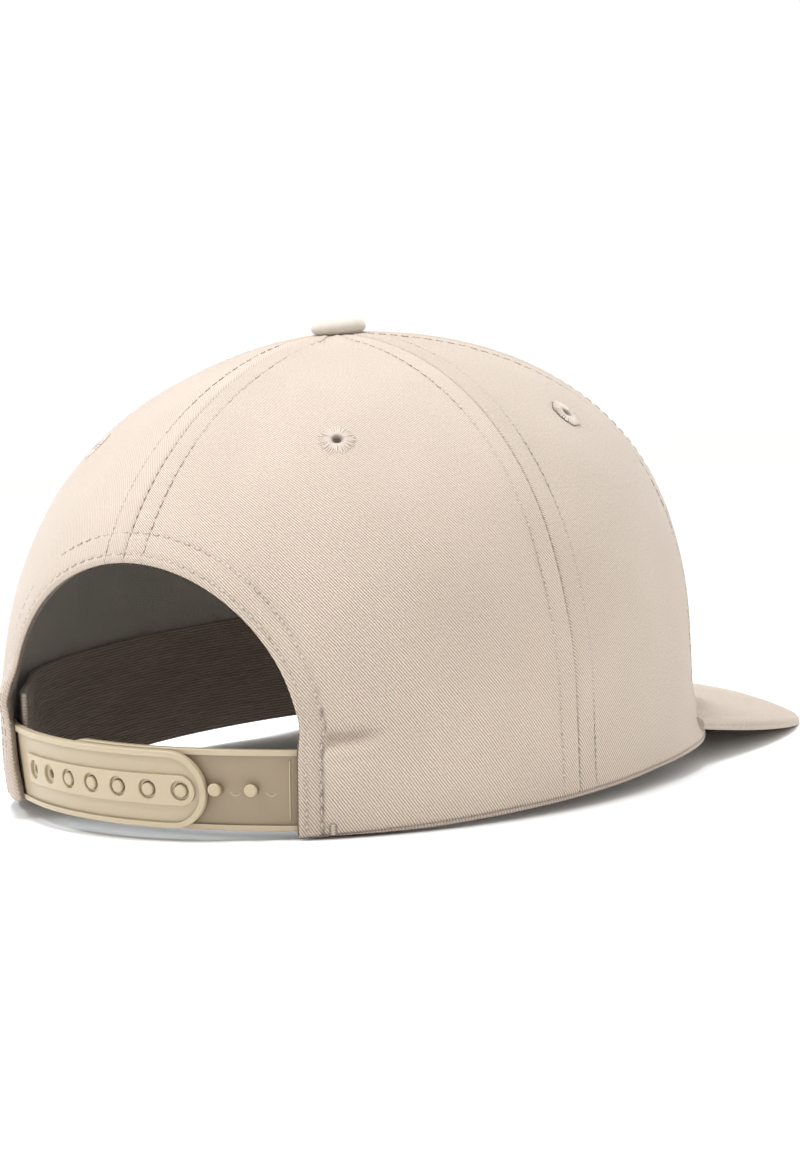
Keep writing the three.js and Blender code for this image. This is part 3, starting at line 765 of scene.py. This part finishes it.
def back_panel(side):
    sign = SIGNS[side]
    low_rows = np.concatenate([RIM_STEPS, np.linspace(RIM_STEPS[-1], ARCH_UPRIGHT, 20)[1:]])
    split = len(low_rows) - 1
    top_parts = np.linspace(0, 1, 85)[1:, None]
    wide_parts = np.linspace(0, 1, 46)[1:-1]
    arch_parts = np.linspace(0, 1, 60)[1:-1]
    rows = len(low_rows) + len(HEM_STEPS) - 1 + len(top_parts)
    hem_column = len(SEAM_STEPS) + len(wide_parts) + len(HEM_STEPS) - 1
    columns = hem_column + 1 + len(arch_parts) + len(SEAM_STEPS)

    def angles_at(share):
        """The angles of the panel's columns, closer together at its seams, hem and arch."""
        first, last = share[:, 0], share[:, -1]
        hem = hem_angle(np.minimum(first * CROWN_HEIGHT, ARCH_UPRIGHT), sign)[:, None]
        beside = SIDE_SEAM + seam_offset(SIDE_SEAM, first, SIDE_SEAM, 180)
        squeeze = np.clip((hem - beside[:, -1:]) / 26, 0, 1)
        near_hem = hem - (HEM_STEPS / length_per_degree(HEM_NEAR, 0.1))[::-1] * squeeze
        flat = beside[:, -1:] + (near_hem[:, :1] - beside[:, -1:]) * wide_parts
        beside_middle = 180 - seam_offset(180.0, last, SIDE_SEAM, 180)[:, ::-1]
        end_turn = np.arccos(np.clip((180 - beside_middle[:, :1]) / (180 - hem), 0, 1))
        arch_part = 180 - (180 - hem) * np.cos(end_turn * arch_parts)
        return np.concatenate([beside, flat, near_hem, arch_part, beside_middle], 1)

    over_arch = slice(hem_column + 1, None)
    share = np.repeat(np.linspace(0, 0.9, rows)[:, None], columns, 1)
    for _ in range(6):
        angle = angles_at(share)
        part = across_at(angle[split, over_arch], share[split, over_arch], sign) / ARCH_HALF_WIDTH
        start = np.full(columns, float(ARCH_UPRIGHT))
        start[over_arch] = ARCH_UPRIGHT + ARCH_RISE * np.sqrt(1 - np.clip(part, 0, 1) ** 2)
        lower = np.repeat(low_rows[:, None], columns, 1)
        lower[:, over_arch] = np.maximum(lower, start)[:, over_arch]
        upper = start + HEM_STEPS[1:, None]
        from_turn = turn_at_share(angle[split], upper[-1] / CROWN_HEIGHT)
        top = share_at_turn(angle[split], from_turn + (TOP_TURN - from_turn) * top_parts)
        share = np.concatenate([lower / CROWN_HEIGHT, upper / CROWN_HEIGHT, top])
    angle = angles_at(share)
    height = share * CROWN_HEIGHT
    setback = arch_setback(across_at(angle, share, sign), height)
    scale = length_per_degree(angle, share) / seam_scale(share, SIDE_SEAM, 180)
    from_middle = (180 - angle) * scale
    distance = np.minimum((angle - SIDE_SEAM) * scale, from_middle)
    run = cut_coordinates(angle, share, (SIDE_SEAM + 180) / 2)[..., 1]
    relief = seam_relief(distance, run, height) + arch_relief(setback, height)
    painted_shading = np.maximum(seam_painted_shade(distance, height), arch_painted_shade(setback, height))
    depth = cloth_depth(setback)
    if side == "right":
        valley, fall, ridge, rise = HEM_CREASE
        outer_row = arch_row_setbacks(height)[1]
        beside = smooth(setback, outer_row, outer_row + 1.5) * (1 - smooth(setback, 12, 20))
        bent = beside * (fall * bump_at(height - valley, HEM_CREASE_SPREAD)
                         - rise * bump_at(height - ridge, HEM_CREASE_SPREAD))
        relief, depth = relief - bent, depth + np.maximum(bent, 0)
        # Painted shade in the valley of the crease beside the hem.
        painted_shading = np.maximum(painted_shading, 0.3 * beside * bump_at(height - valley - 0.6, 1.4))
    else:
        # Painted shade along the middle seam's row on the left; elsewhere a negative tone, painted light that
        # evens the ribs out on the lit side.
        painted_shading = np.maximum(painted_shading, 0.4 * bump_at(from_middle - SEAM_ROW, 0.3))
        painted_shading = np.where(painted_shading > 0.14, painted_shading, -0.6 * smooth(angle, 120, 150))
    panel_sheet("back", side, angle, share, relief, painted_shading, depth, (split, hem_column))


# Stitch rows

def cloth_stitches(angle, share, relief, *size):
    return stitches(on_cloth(angle, share, relief), outward(angle, share), *size)


def seam_shares(seam, over_arch, top_turn, count):
    """Shares of the height along a seam, from the rim or the arch to near the top."""
    lowest = ARCH_TOP + over_arch if seam == 180 else 1.0
    return share_at_turn(seam, np.linspace(turn_at_share(seam, lowest / CROWN_HEIGHT), top_turn, count))


def seam_rows():
    """A row inside each panel's both seams."""
    for start, stop in GORES:
        for seam in (start, stop):
            share = seam_shares(seam, 1.5, 84, 220)
            step = SEAM_ROW * seam_scale(share, start, stop) / length_per_degree(seam, share)
            raised = 0.2 * (seam == 180) * (1 - smooth(share * CROWN_HEIGHT, ARCH_TOP + 6, ARCH_TOP + 8.5))
            angle = seam + (step if seam == start else -step)
            for sign in (1, -1):
                yield cloth_stitches(on_side(angle, sign), share, raised)


def seam_dashes():
    """The seams' own stitches, darkened with painted shade into dashes in the groove."""
    for seam in (0, FRONT_SEAM, SIDE_SEAM, 180, 360 - SIDE_SEAM, 360 - FRONT_SEAM):
        share = seam_shares(seam, 0.5, 85, DASH_POINTS)
        sway = 0.12 * np.sin(np.arange(DASH_POINTS) * 1.9)
        angle = seam + sway / np.maximum(length_per_degree(seam, share), 0.3)
        # Painted shade on the dashes, deepest on the middle back seam.
        dark = 0.85 if seam == 180 else 0.55
        yield cloth_stitches(angle, share, -0.22, DASH_PITCH, DASH_LENGTH, DASH_RADIUS, dark)


def arch_rows():
    turns = arc(0, 90, 200)
    low = np.linspace(1.2, ARCH_UPRIGHT, 30)[:-1]
    for sign in (1, -1):
        for row in arch_row_setbacks(ARCH_UPRIGHT + ARCH_RISE * np.sin(turns)):
            across = np.concatenate([hem_edge(low) + ARCH_SIDE_SHARE * row[0],
                                     (ARCH_HALF_WIDTH + ARCH_SIDE_SHARE * row) * np.cos(turns)])
            height = np.concatenate([low, ARCH_UPRIGHT + (ARCH_RISE + row) * np.sin(turns)])
            angle = on_side(back_angle(-sign * across, height), sign)
            angle, share = on_side(np.minimum(angle, 179.9), sign), height / CROWN_HEIGHT
            yield cloth_stitches(angle, share, 0.05 + 0.25 * (1 - smooth(height, 26, 42)))


def bar_tack():
    """Close stitches where the right hem's row meets the rim."""
    for step in range(5):
        height = 0.5 + 0.5 * step
        angle = hem_angle(height, 1, 6.2) - np.linspace(-0.55, 0.75, 8)
        yield cloth_stitches(angle, height / CROWN_HEIGHT, 0.3, 9, 1.9, 0.26)


def stitching(name, parts, shade):
    points, faces, tones = merged(parts)
    new_piece(name, points, faces, [THREAD], "thread", tone=tones * shade)


# Peak

def wall_out(angle, height, depth):
    share = height / CROWN_HEIGHT
    return shell(angle, share, 0, cloth_out(angle, share) - depth)


PEAK_CORNER = wall_out(PEAK_ROOT_ANGLE, 0.0, PEAK_SEAT)


def peak_top(spot):
    side = spot[:, 0] / PEAK_CORNER[0]
    forward = PEAK_CORNER[1] - spot[:, 1]
    crest = PEAK_CREST * (1 - 4.8 * side * side) * smooth(-spot[:, 1], 90, 160)
    fall = math.tan(math.radians(PEAK_TILT)) * forward
    return PEAK_ROOT_HEIGHT + (PEAK_CAMBER + crest) * (1 - side * side) - fall


def peak():
    """The peak's cloth. It gives the outline of its edge and root and the width between them."""
    front = RIM_LENGTH / 2 + PEAK_LENGTH + PEAK_CORNER[1]
    share = np.linspace(-1, 1, 181)
    turn = share * np.pi / 2
    edge = np.stack([-PEAK_HALF_WIDTH * np.sign(share) * np.abs(np.sin(turn)) ** (2 / PEAK_SIDE_POWER),
                     PEAK_CORNER[1] - front * np.abs(np.cos(turn)) ** (2 / PEAK_FRONT_POWER)], -1)
    angle = share * PEAK_ROOT_ANGLE
    foot = peak_top(wall_out(angle, 0.0, PEAK_ROOT_DEPTH))
    roots = [wall_out(angle, np.maximum(foot - under, 0), PEAK_ROOT_DEPTH)[:, :2]
             for under in (0, PEAK_THICKNESS)]
    width = np.linalg.norm(edge - roots[0], axis=-1)
    half = PEAK_THICKNESS / 2
    faces = []
    for root, sign in zip(roots, (1, -1)):
        lines = []
        for part in np.linspace(0, 1, 90)[:-1]:
            place = part * (1 - half / width)
            rows = sum(bump_at((1 - place) * width - row, 0.6) for row in PEAK_ROWS)
            fillet = (sign > 0) * smooth(width, 3, 12) * bump_at(place * width - PEAK_ROOT_DEPTH,
                                                                 PEAK_FILLET_WIDTH)
            # The third value is painted shade in the stitch rows' grooves.
            lines.append((place, sign * (half - PEAK_GROOVE * rows) + PEAK_FILLET * fillet, 0.025 * rows))
        for turn_down in arc(90, 0, 8)[1:]:
            # Painted shade along the middle of the rounded edge.
            lines.append((1 - half * (1 - np.cos(turn_down)) / width, sign * half * np.sin(turn_down),
                          0.15 * (turn_down < 0.1) + 0 * width))
        spots = [root + (edge - root) * place[:, None] for place, _, _ in lines]
        faces.append([np.column_stack([spot, peak_top(spot) - half + rise, tone])
                      for spot, (_, rise, tone) in zip(spots, lines)])
    grid = np.stack(faces[0] + faces[1][-2::-1])
    rows, columns = grid.shape[:2]
    row, column = np.arange(rows), np.arange(columns - 1)
    last = (rows - 1) * columns
    quads = np.concatenate([sheet_faces(rows, columns)[:, ::-1],
                            np.stack([column, column + 1, last + column + 1, last + column], -1)])
    ends = [(rows * columns + row).tolist(), (rows * columns + rows + row[::-1]).tolist()]
    points = np.concatenate([grid.reshape(-1, 4), grid[:, 0] * (1, 1, 1, 0), grid[:, -1] * (1, 1, 1, 0)])
    points, tone = points[:, :3], points[:, 3]
    uv = np.stack([-points[:, 0], points[:, 1] + RIM_LENGTH + points[:, 2]], -1)
    new_piece("peak_cloth", points, quads.tolist() + ends, [TWILL], "twill", "peak", uv, tone)
    return edge, roots[0], width


def peak_rows(edge, root, width):
    for row in PEAK_ROWS:
        for under in (0, 1):
            place = 1 - row / width
            spot = (root + (edge - root) * place[:, None])[place > 0.02]
            line = np.column_stack([spot, peak_top(spot) - under * PEAK_THICKNESS])
            aside = np.gradient(line, axis=0)
            up = unit(np.cross(aside, np.cross([0, 0, 1.0 - 2 * under], aside)))
            yield stitches(line - 0.07 * up, up, radius=0.13)


# Button and eyelets

def turned(profile, sides):
    """Points and faces of a profile in (radius, height) turned about the vertical axis."""
    turn = full_turn(sides)
    radius, height = np.asarray(profile, float).T[..., None]
    points = np.stack([radius * np.cos(turn), radius * np.sin(turn), height * np.ones(sides)], -1)
    return points.reshape(-1, 3), sheet_faces(len(profile), sides, closed=True)


def top_button():
    profile = [(0.01, -1.5), (2, -1.5), (5.5, -0.6), (6.6, 0.05), (7.1, 0.6), (7.28, 1.1)]
    for turn in arc(0, 90, 26):
        profile.append((BUTTON_RADIUS * math.cos(turn) ** 0.85 + 1e-4,
                        BUTTON_WAIST + (BUTTON_DOME - BUTTON_WAIST) * math.sin(turn) ** 1.1))
    points, faces = turned(profile, BUTTON_SIDES)
    turn = np.tile(full_turn(BUTTON_SIDES), len(profile))
    pleats = np.sin(12 * turn + 0.6 * np.sin(3 * turn)) * (1 - smooth(points[:, 2], 0.8, 3.4))
    points[:, :2] *= 1 + 0.012 * pleats[:, None]
    along = run_along(np.array(profile))
    uv = np.repeat(along[-1] - along, BUTTON_SIDES)[:, None] * np.stack([np.cos(turn), np.sin(turn)], -1)
    points = points + np.array([*BUTTON_AT, CROWN_HEIGHT + 0.3])
    new_piece("button_cloth", points, faces.tolist(), [BUTTON_TWILL], "twill", "top_button", uv, 0 * turn)


def eyelet(spot, side):
    angle, share = eyelet_spot(spot, side)
    profile = [(EYELET_HOLE, -2.6), (2.6, -2.6), (4, -2.1), (2.4, -1.7), (2.3, -0.2), (4.1, -0.15),
               (3.4, 0.08), (2.3, 0.1), (1.6, -0.15), (EYELET_HOLE, -0.8), (EYELET_HOLE, -2.6)]
    # The ring and its hole carry painted shade.
    parts = [turned(profile, 40) + (0.5,)]
    generator = np.random.default_rng(7 + len(spot) + 3 * len(side))
    along = np.linspace(0, 1, 9)
    height = 0.36 * np.sin(np.pi * along**0.6) ** 0.7 - 0.12 - 0.5 * (along < 0.01)
    for stitch in range(EYELET_STITCHES):
        turn = 2 * np.pi * (stitch + 0.25 * generator.uniform(-1, 1)) / EYELET_STITCHES
        outer = EYELET_RADIUS + 0.3 * generator.uniform(-1, 1)
        radius = EYELET_HOLE - 0.05 + (outer - EYELET_HOLE) * along
        middle = np.stack([radius * math.cos(turn), radius * math.sin(turn), height], -1)
        aside = np.array([-math.sin(turn), math.cos(turn), 0])
        # Each stitch carries painted shade, darkest where it dips into the hole.
        parts.append((tube(middle, aside, np.array([0, 0, 0.9]), np.minimum(0.25, 0.11 * radius)),
                      sheet_faces(9, TUBE_SIDES, closed=True),
                      np.repeat([0.9, 0.45, 0.1, 0, 0, 0, 0, 0, 0.2], TUBE_SIDES)))
    points, faces, tones = merged(parts)
    points = points @ upright_basis(outward(angle, share)) + pushed(angle, share)
    new_piece(f"eyelet_stitches_{spot}_{side}", points, faces, [THREAD], "thread", f"eyelet_{spot}_{side}",
              tone=tones)


# Sweatband and tapes

def sweatband():
    hem = HEM_FOOT - 1
    tab = 360 - angle_along(place_at(360 - hem) + STRAP_TAB + 4)
    angle = np.linspace(-hem, hem, 420)
    height = np.concatenate([[0, 0.3, 0.8], np.linspace(0.8 + BAND_DROP, BAND_HEIGHT - 0.8, 24),
                             [BAND_HEIGHT - 0.4, BAND_HEIGHT]])[:, None] - BAND_DROP
    near = smooth(np.abs(angle), tab - BAND_STEP, tab)
    seat = CLOTH + TAPE_SEAT
    depth = seat + (INNER_FACE + STRAP_PLATE + 0.3 - seat) * near
    depth = depth - BAND_END_PUSH * smooth(-angle, hem - 16, hem - 1)
    soft = 0.15 * np.sin(np.radians(angle) * 17) * np.sin(height / 9) * (1 - near)
    sheets = []
    for thickness in (0.0, BAND_THICKNESS):
        face = depth + thickness + soft - 0.35 * (thickness > 0) * bump_at(height + BAND_DROP, 0.4)
        sheets.append(shell(angle, height / (CROWN_HEIGHT - face), face, 0)[:, ::-1])
    thick_sheet("sweatband_tape", *sheets, [BAND], "band_tape", "sweatband",
                uv=both_ways(angle * RIM_PER_DEGREE, height)[:, ::-1])


def rim_roll():
    """The rolled edge that shows under the rim from one hem to the other."""
    angle = np.linspace(2 - HEM_FOOT, HEM_FOOT - 2, 360)
    turns = full_turn(ROLL_SIDES)[:, None]
    size = 0.15 + 0.85 * smooth(HEM_FOOT - np.abs(angle), 2, 22)
    half_depth, half_height = ROLL_HALF
    out = cloth_out(angle, 0.0) - ROLL_DEPTH - half_depth * np.cos(turns)
    points = shell(angle, size * (half_height * np.sin(turns) - ROLL_LOW) / CROWN_HEIGHT, 0, out)
    faces = sheet_faces(len(angle), ROLL_SIDES, closed=True)
    new_piece("rim_roll", np.swapaxes(points, 0, 1).reshape(-1, 3), faces[:, [0, 3, 2, 1]].tolist(), [BAND],
              "band_tape", uv=both_ways(turns.T, angle[:, None] * RIM_PER_DEGREE).reshape(-1, 2))


def tape(name, node, angles, height, setbacks, behinds, along):
    """A tape inside the opening's edge: its rows at setbacks from the edge, its faces behind the cloth."""
    depths = [cloth_depth(setbacks)[:, None] + behind for behind in behinds]
    sheets = [pushed(angles(depth), height / (CROWN_HEIGHT - depth), depth) for depth in depths]
    thick_sheet(name, *sheets, [FACING], "twill", node, uv=both_ways(along, setbacks[:, None]))


def hem_tape(side):
    """The tape behind an upright hem, its edge just proud of the cloth's."""
    sign = SIGNS[side]
    height = np.linspace(0.4, FACING_LOW, 14)
    setbacks = np.array([-0.35, 0, 0.6, 2, 4, 6, HEM_TAPE_WIDTH])
    angle = on_side(hem_angle(height, sign, setbacks[:, None]), sign)
    tape(f"hem_tape_{side}", None, lambda depth: angle, height, setbacks, (TAPE_GAP, FACING_THICKNESS),
         height)


def arch_facing():
    setbacks = np.concatenate([[-0.3, 0.3], np.linspace(1, FACING_WIDTH, 12)])
    turns = arc(0, 180, FACING_POINTS)
    across = -(ARCH_HALF_WIDTH + setbacks[:, None]) * np.cos(turns)
    height = np.maximum(ARCH_UPRIGHT + (ARCH_RISE + setbacks[:, None]) * np.sin(turns), FACING_LOW)
    tape("arch_tape", "arch_facing", lambda depth: back_angle(across, height, depth), height, setbacks,
         (TAPE_GAP, TAPE_SEAT + FACING_THICKNESS), np.linspace(0, 190, FACING_POINTS))


# Strap

TAB_END = HEM_PLACE + STRAP_TAB


def strap_middle(place):
    return STRAP_MIDDLE + STRAP_SLOPE * place - STRAP_SAG * place * place


def wall(place, height, depth):
    return shell(angle_along(place), height / (CROWN_HEIGHT - depth), depth, 0)


def outer_face(place):
    under = (INNER_FACE - OUTER_FACE) * smooth(place, INNER_END, HEM_PLACE)
    return OUTER_FACE + under - LEFT_END_PUSH * smooth(place, 20, 50)


def inner_face(place):
    return INNER_FACE + 0 * place


def stadium(start, end, half, inset=0.0):
    """A strip's outline in (place, rise): square at its start and round at its end."""
    ahead = 1 if end > start else -1
    half = half - inset
    middle = end - ahead * (inset + half)
    turns = arc(-90, 90, 33)[1:-1]
    tip = [(middle + ahead * half * math.cos(t), half * math.sin(t)) for t in turns]
    count = max(int(abs(middle - start) / 1.5), 1)
    top = [(start + (middle - start) * (count - k) / count, half) for k in range(1, count + 1)]
    return [(x, -y) for x, y in reversed(top)] + tip + top


def circle(place, radius):
    return [(place + radius * math.cos(t), radius * math.sin(t)) for t in full_turn(28)]


def moulded(outlines, low, high, rounding, face, tone=0.0):
    """A plate with rounded edges from outlines in (place, rise), bent to the crown between two heights."""
    curve = bpy.data.curves.new("outline", "CURVE")
    curve.dimensions = "2D"
    curve.fill_mode = "BOTH"
    curve.extrude = (high - low) / 2 - rounding
    curve.bevel_depth = rounding
    curve.bevel_resolution = 2
    curve.offset = -rounding
    for outline in outlines:
        spline = curve.splines.new("POLY")
        spline.points.add(len(outline) - 1)
        for point, (x, y) in zip(spline.points, outline):
            point.co = (x, y, 0, 1)
        spline.use_cyclic_u = True
    holder = linked("outline", curve)
    mesh = bpy.data.meshes.new_from_object(holder)
    bpy.data.objects.remove(holder)
    bpy.data.curves.remove(curve)
    bm = bmesh.new()
    bm.from_mesh(mesh)
    bpy.data.meshes.remove(mesh)
    bmesh.ops.remove_doubles(bm, verts=bm.verts, dist=1e-3)
    places = [v.co.x for v in bm.verts]
    for cut in np.arange(math.floor(min(places)) + 1, max(places), 1.6):
        bmesh.ops.bisect_plane(bm, geom=[*bm.verts, *bm.edges, *bm.faces], plane_co=(cut, 0, 0),
                               plane_no=(1, 0, 0), dist=1e-4)
    place, rise, out = np.array([v.co[:] for v in bm.verts]).T
    faces = [[v.index for v in f.verts] for f in bm.faces]
    bm.free()
    return wall(place, strap_middle(place) + rise, face(place) - out - (low + high) / 2), faces, tone


def plate(start, end, half, face, tone, holes=()):
    """A strap's thin plate and the rail round its edge."""
    edge, beyond = stadium(start, end, half), start + (4 if end < start else -4)
    return [moulded([edge, *holes], -STRAP_PLATE, 0, PLATE_ROUNDING, face, tone),
            moulded([edge, stadium(beyond, end, half, RAIL_WIDTH)], RAISED_FOOT, RAIL_HEIGHT, 0.32, face)]


def peg(profile, place, lean):
    """A peg stood on the inner strap's face, leaning up and to the wearer's left."""
    points, faces = turned(profile, 36)
    middle = strap_middle(place)
    basis = upright_basis(outward(angle_along(place), middle / CROWN_HEIGHT))
    # Painted shade, darker towards the peg's foot.
    tones = np.interp(points[:, 2], (1.6, 2.7), (1.0, 0.0))
    points = points + lean * np.maximum(points[:, 2:], 0) * np.array([-0.8, 1, 0])
    return points @ basis + wall(place, middle, INNER_FACE), faces, tones


def strap(side, parts):
    """One half of the strap. Edges sharper than 50 degrees stay sharp, and flat faces shade flat."""
    points, faces, tones = merged(parts)
    piece = new_piece(f"strap_plate_{side}", points, faces, [PLASTIC], "strap_plastic", f"strap_{side}",
                      tone=tones)
    piece.data.set_sharp_from_angle(angle=math.radians(50))
    modifier = piece.modifiers.new("flat faces", "WEIGHTED_NORMAL")
    modifier.keep_sharp = True
    modifier.weight = 80


def outer_strap():
    through = [circle(place, 1.15 if place > INNER_END else 1.65) for place in HOLES]
    recess = [circle(place, 2.4) for place in HOLES]
    bar = stadium(HOLES[0] + 3.9, HOLES[6] - BAR_HALF, BAR_HALF)
    # The plate's floor gets a little painted shade.
    strap("left", plate(TAB_END, OUTER_END, OUTER_HEIGHT / 2, outer_face, 0.12, through)
          + [moulded([bar, *recess], RAISED_FOOT, 0.75, 0.2, outer_face)])


def inner_strap():
    # The inner plate's floor gets much more painted shade than the outer one's.
    parts = plate(-TAB_END, INNER_END, INNER_HEIGHT / 2, inner_face, 0.75)
    stop = [(STOP_RIB + aside, rise)
            for aside, rise in ((0.35, -STOP_HALF), (0.7, -STOP_HALF), (-0.35, STOP_HALF), (-0.7, STOP_HALF))]
    parts.append(moulded([stop], RAISED_FOOT, 0.35, 0.12, inner_face))
    head = np.array([(0.001, -0.2), (1.35, -0.2), (1.38, 1.2), (1.5, 1.6), (1.66, 1.75), (1.7, 1.9),
                     (1.68, 2.35), (1.58, 2.56), (1.4, 2.68), (1.1, 2.74), (0.001, 2.76)])
    for place in PEGS:
        free = place < OUTER_END
        parts.append(peg(head * (0.93, 1.05 if free else 1.14), place, PEG_LEAN if free else 0))
    turns = arc(200, 330, 14)
    for place in (PEGS[1] - 4.2, PEGS[0] - 4.2):
        mark = [(place - radius * math.cos(t), radius * math.sin(t))
                for radius, way in ((1.5, 1), (1.25, -1)) for t in turns[::way]]
        parts.append(moulded([mark], -0.1, 0.12, 0.04, inner_face))
    strap("right", parts)


# Assembly

for side_name in SIGNS:
    closed_panel("front", *GORES[0], side_name)
    closed_panel("side", *GORES[1], side_name)
    back_panel(side_name)
    for spot_name in EYELET_ANGLES:
        eyelet(spot_name, side_name)

stitching("crown_stitching", [*seam_rows(), *seam_dashes(), *arch_rows(), *bar_tack()], 1)
stitching("peak_stitching", peak_rows(*peak()), 0.3)
top_button()
sweatband()
rim_roll()
arch_facing()
hem_tape("right")
hem_tape("left")
outer_strap()
inner_strap()


# Floor, light and camera

def studio():
    """A pale round floor whose rim curves up into a wall."""
    bend = [(2.2 + 0.7 * math.sin(t), 0.7 - 0.7 * math.cos(t)) for t in arc(0, 90, 16)]
    profile = [(0.00001, 0)] + [(r, 0) for r in (0.5, 1, 1.6)] + bend + [(2.9, 1.6)]
    points, faces = turned(profile, 96)
    mesh = bpy.data.meshes.new("floor")
    mesh.from_pydata(points.tolist(), [], faces.tolist())
    mesh.shade_smooth()
    n = Nodes("floor")
    colour = srgb(249, 249, 248)
    mesh.materials.append(n.look(Base_Color=n.blend(n.noise(n.place(), 3.0), colour, dimmed(colour, 0.99)),
                                 Roughness=0.95, Specular_IOR_Level=0.1))
    linked("floor", mesh)


def lights():
    for name, place, size, power, colour in LIGHTS:
        light = bpy.data.lights.new(name, "AREA")
        light.shape = "DISK"
        light.size = size
        light.energy = power
        light.color = colour
        holder = linked(name, light)
        holder.location = place
        holder.rotation_euler = (Vector(LIGHTS_AIM) - Vector(place)).to_track_quat("-Z", "Y").to_euler()
    world = bpy.data.worlds.new("studio")
    bpy.context.scene.world = world
    world.use_nodes = True
    background = world.node_tree.nodes["Background"]
    background.inputs["Color"].default_value = WORLD_COLOUR
    background.inputs["Strength"].default_value = WORLD_STRENGTH


def photo_camera():
    data = bpy.data.cameras.new("camera")
    data.sensor_width = SENSOR
    data.lens = SENSOR * FOCAL_PIXELS / PICTURE_HEIGHT
    data.shift_y = -AXIS_ABOVE_CENTRE / PICTURE_HEIGHT
    data.clip_start = 0.01
    camera = linked("camera", data)
    stand = Matrix.Translation(at_rest(CAMERA_PLACE))
    for degrees, axis in CAMERA_TURNS:
        stand = stand @ Matrix.Rotation(math.radians(degrees), 4, axis)
    camera.matrix_world = stand
    bpy.context.scene.camera = camera


studio()
lights()
photo_camera()
bpy.context.scene.view_settings.view_transform = "Standard"
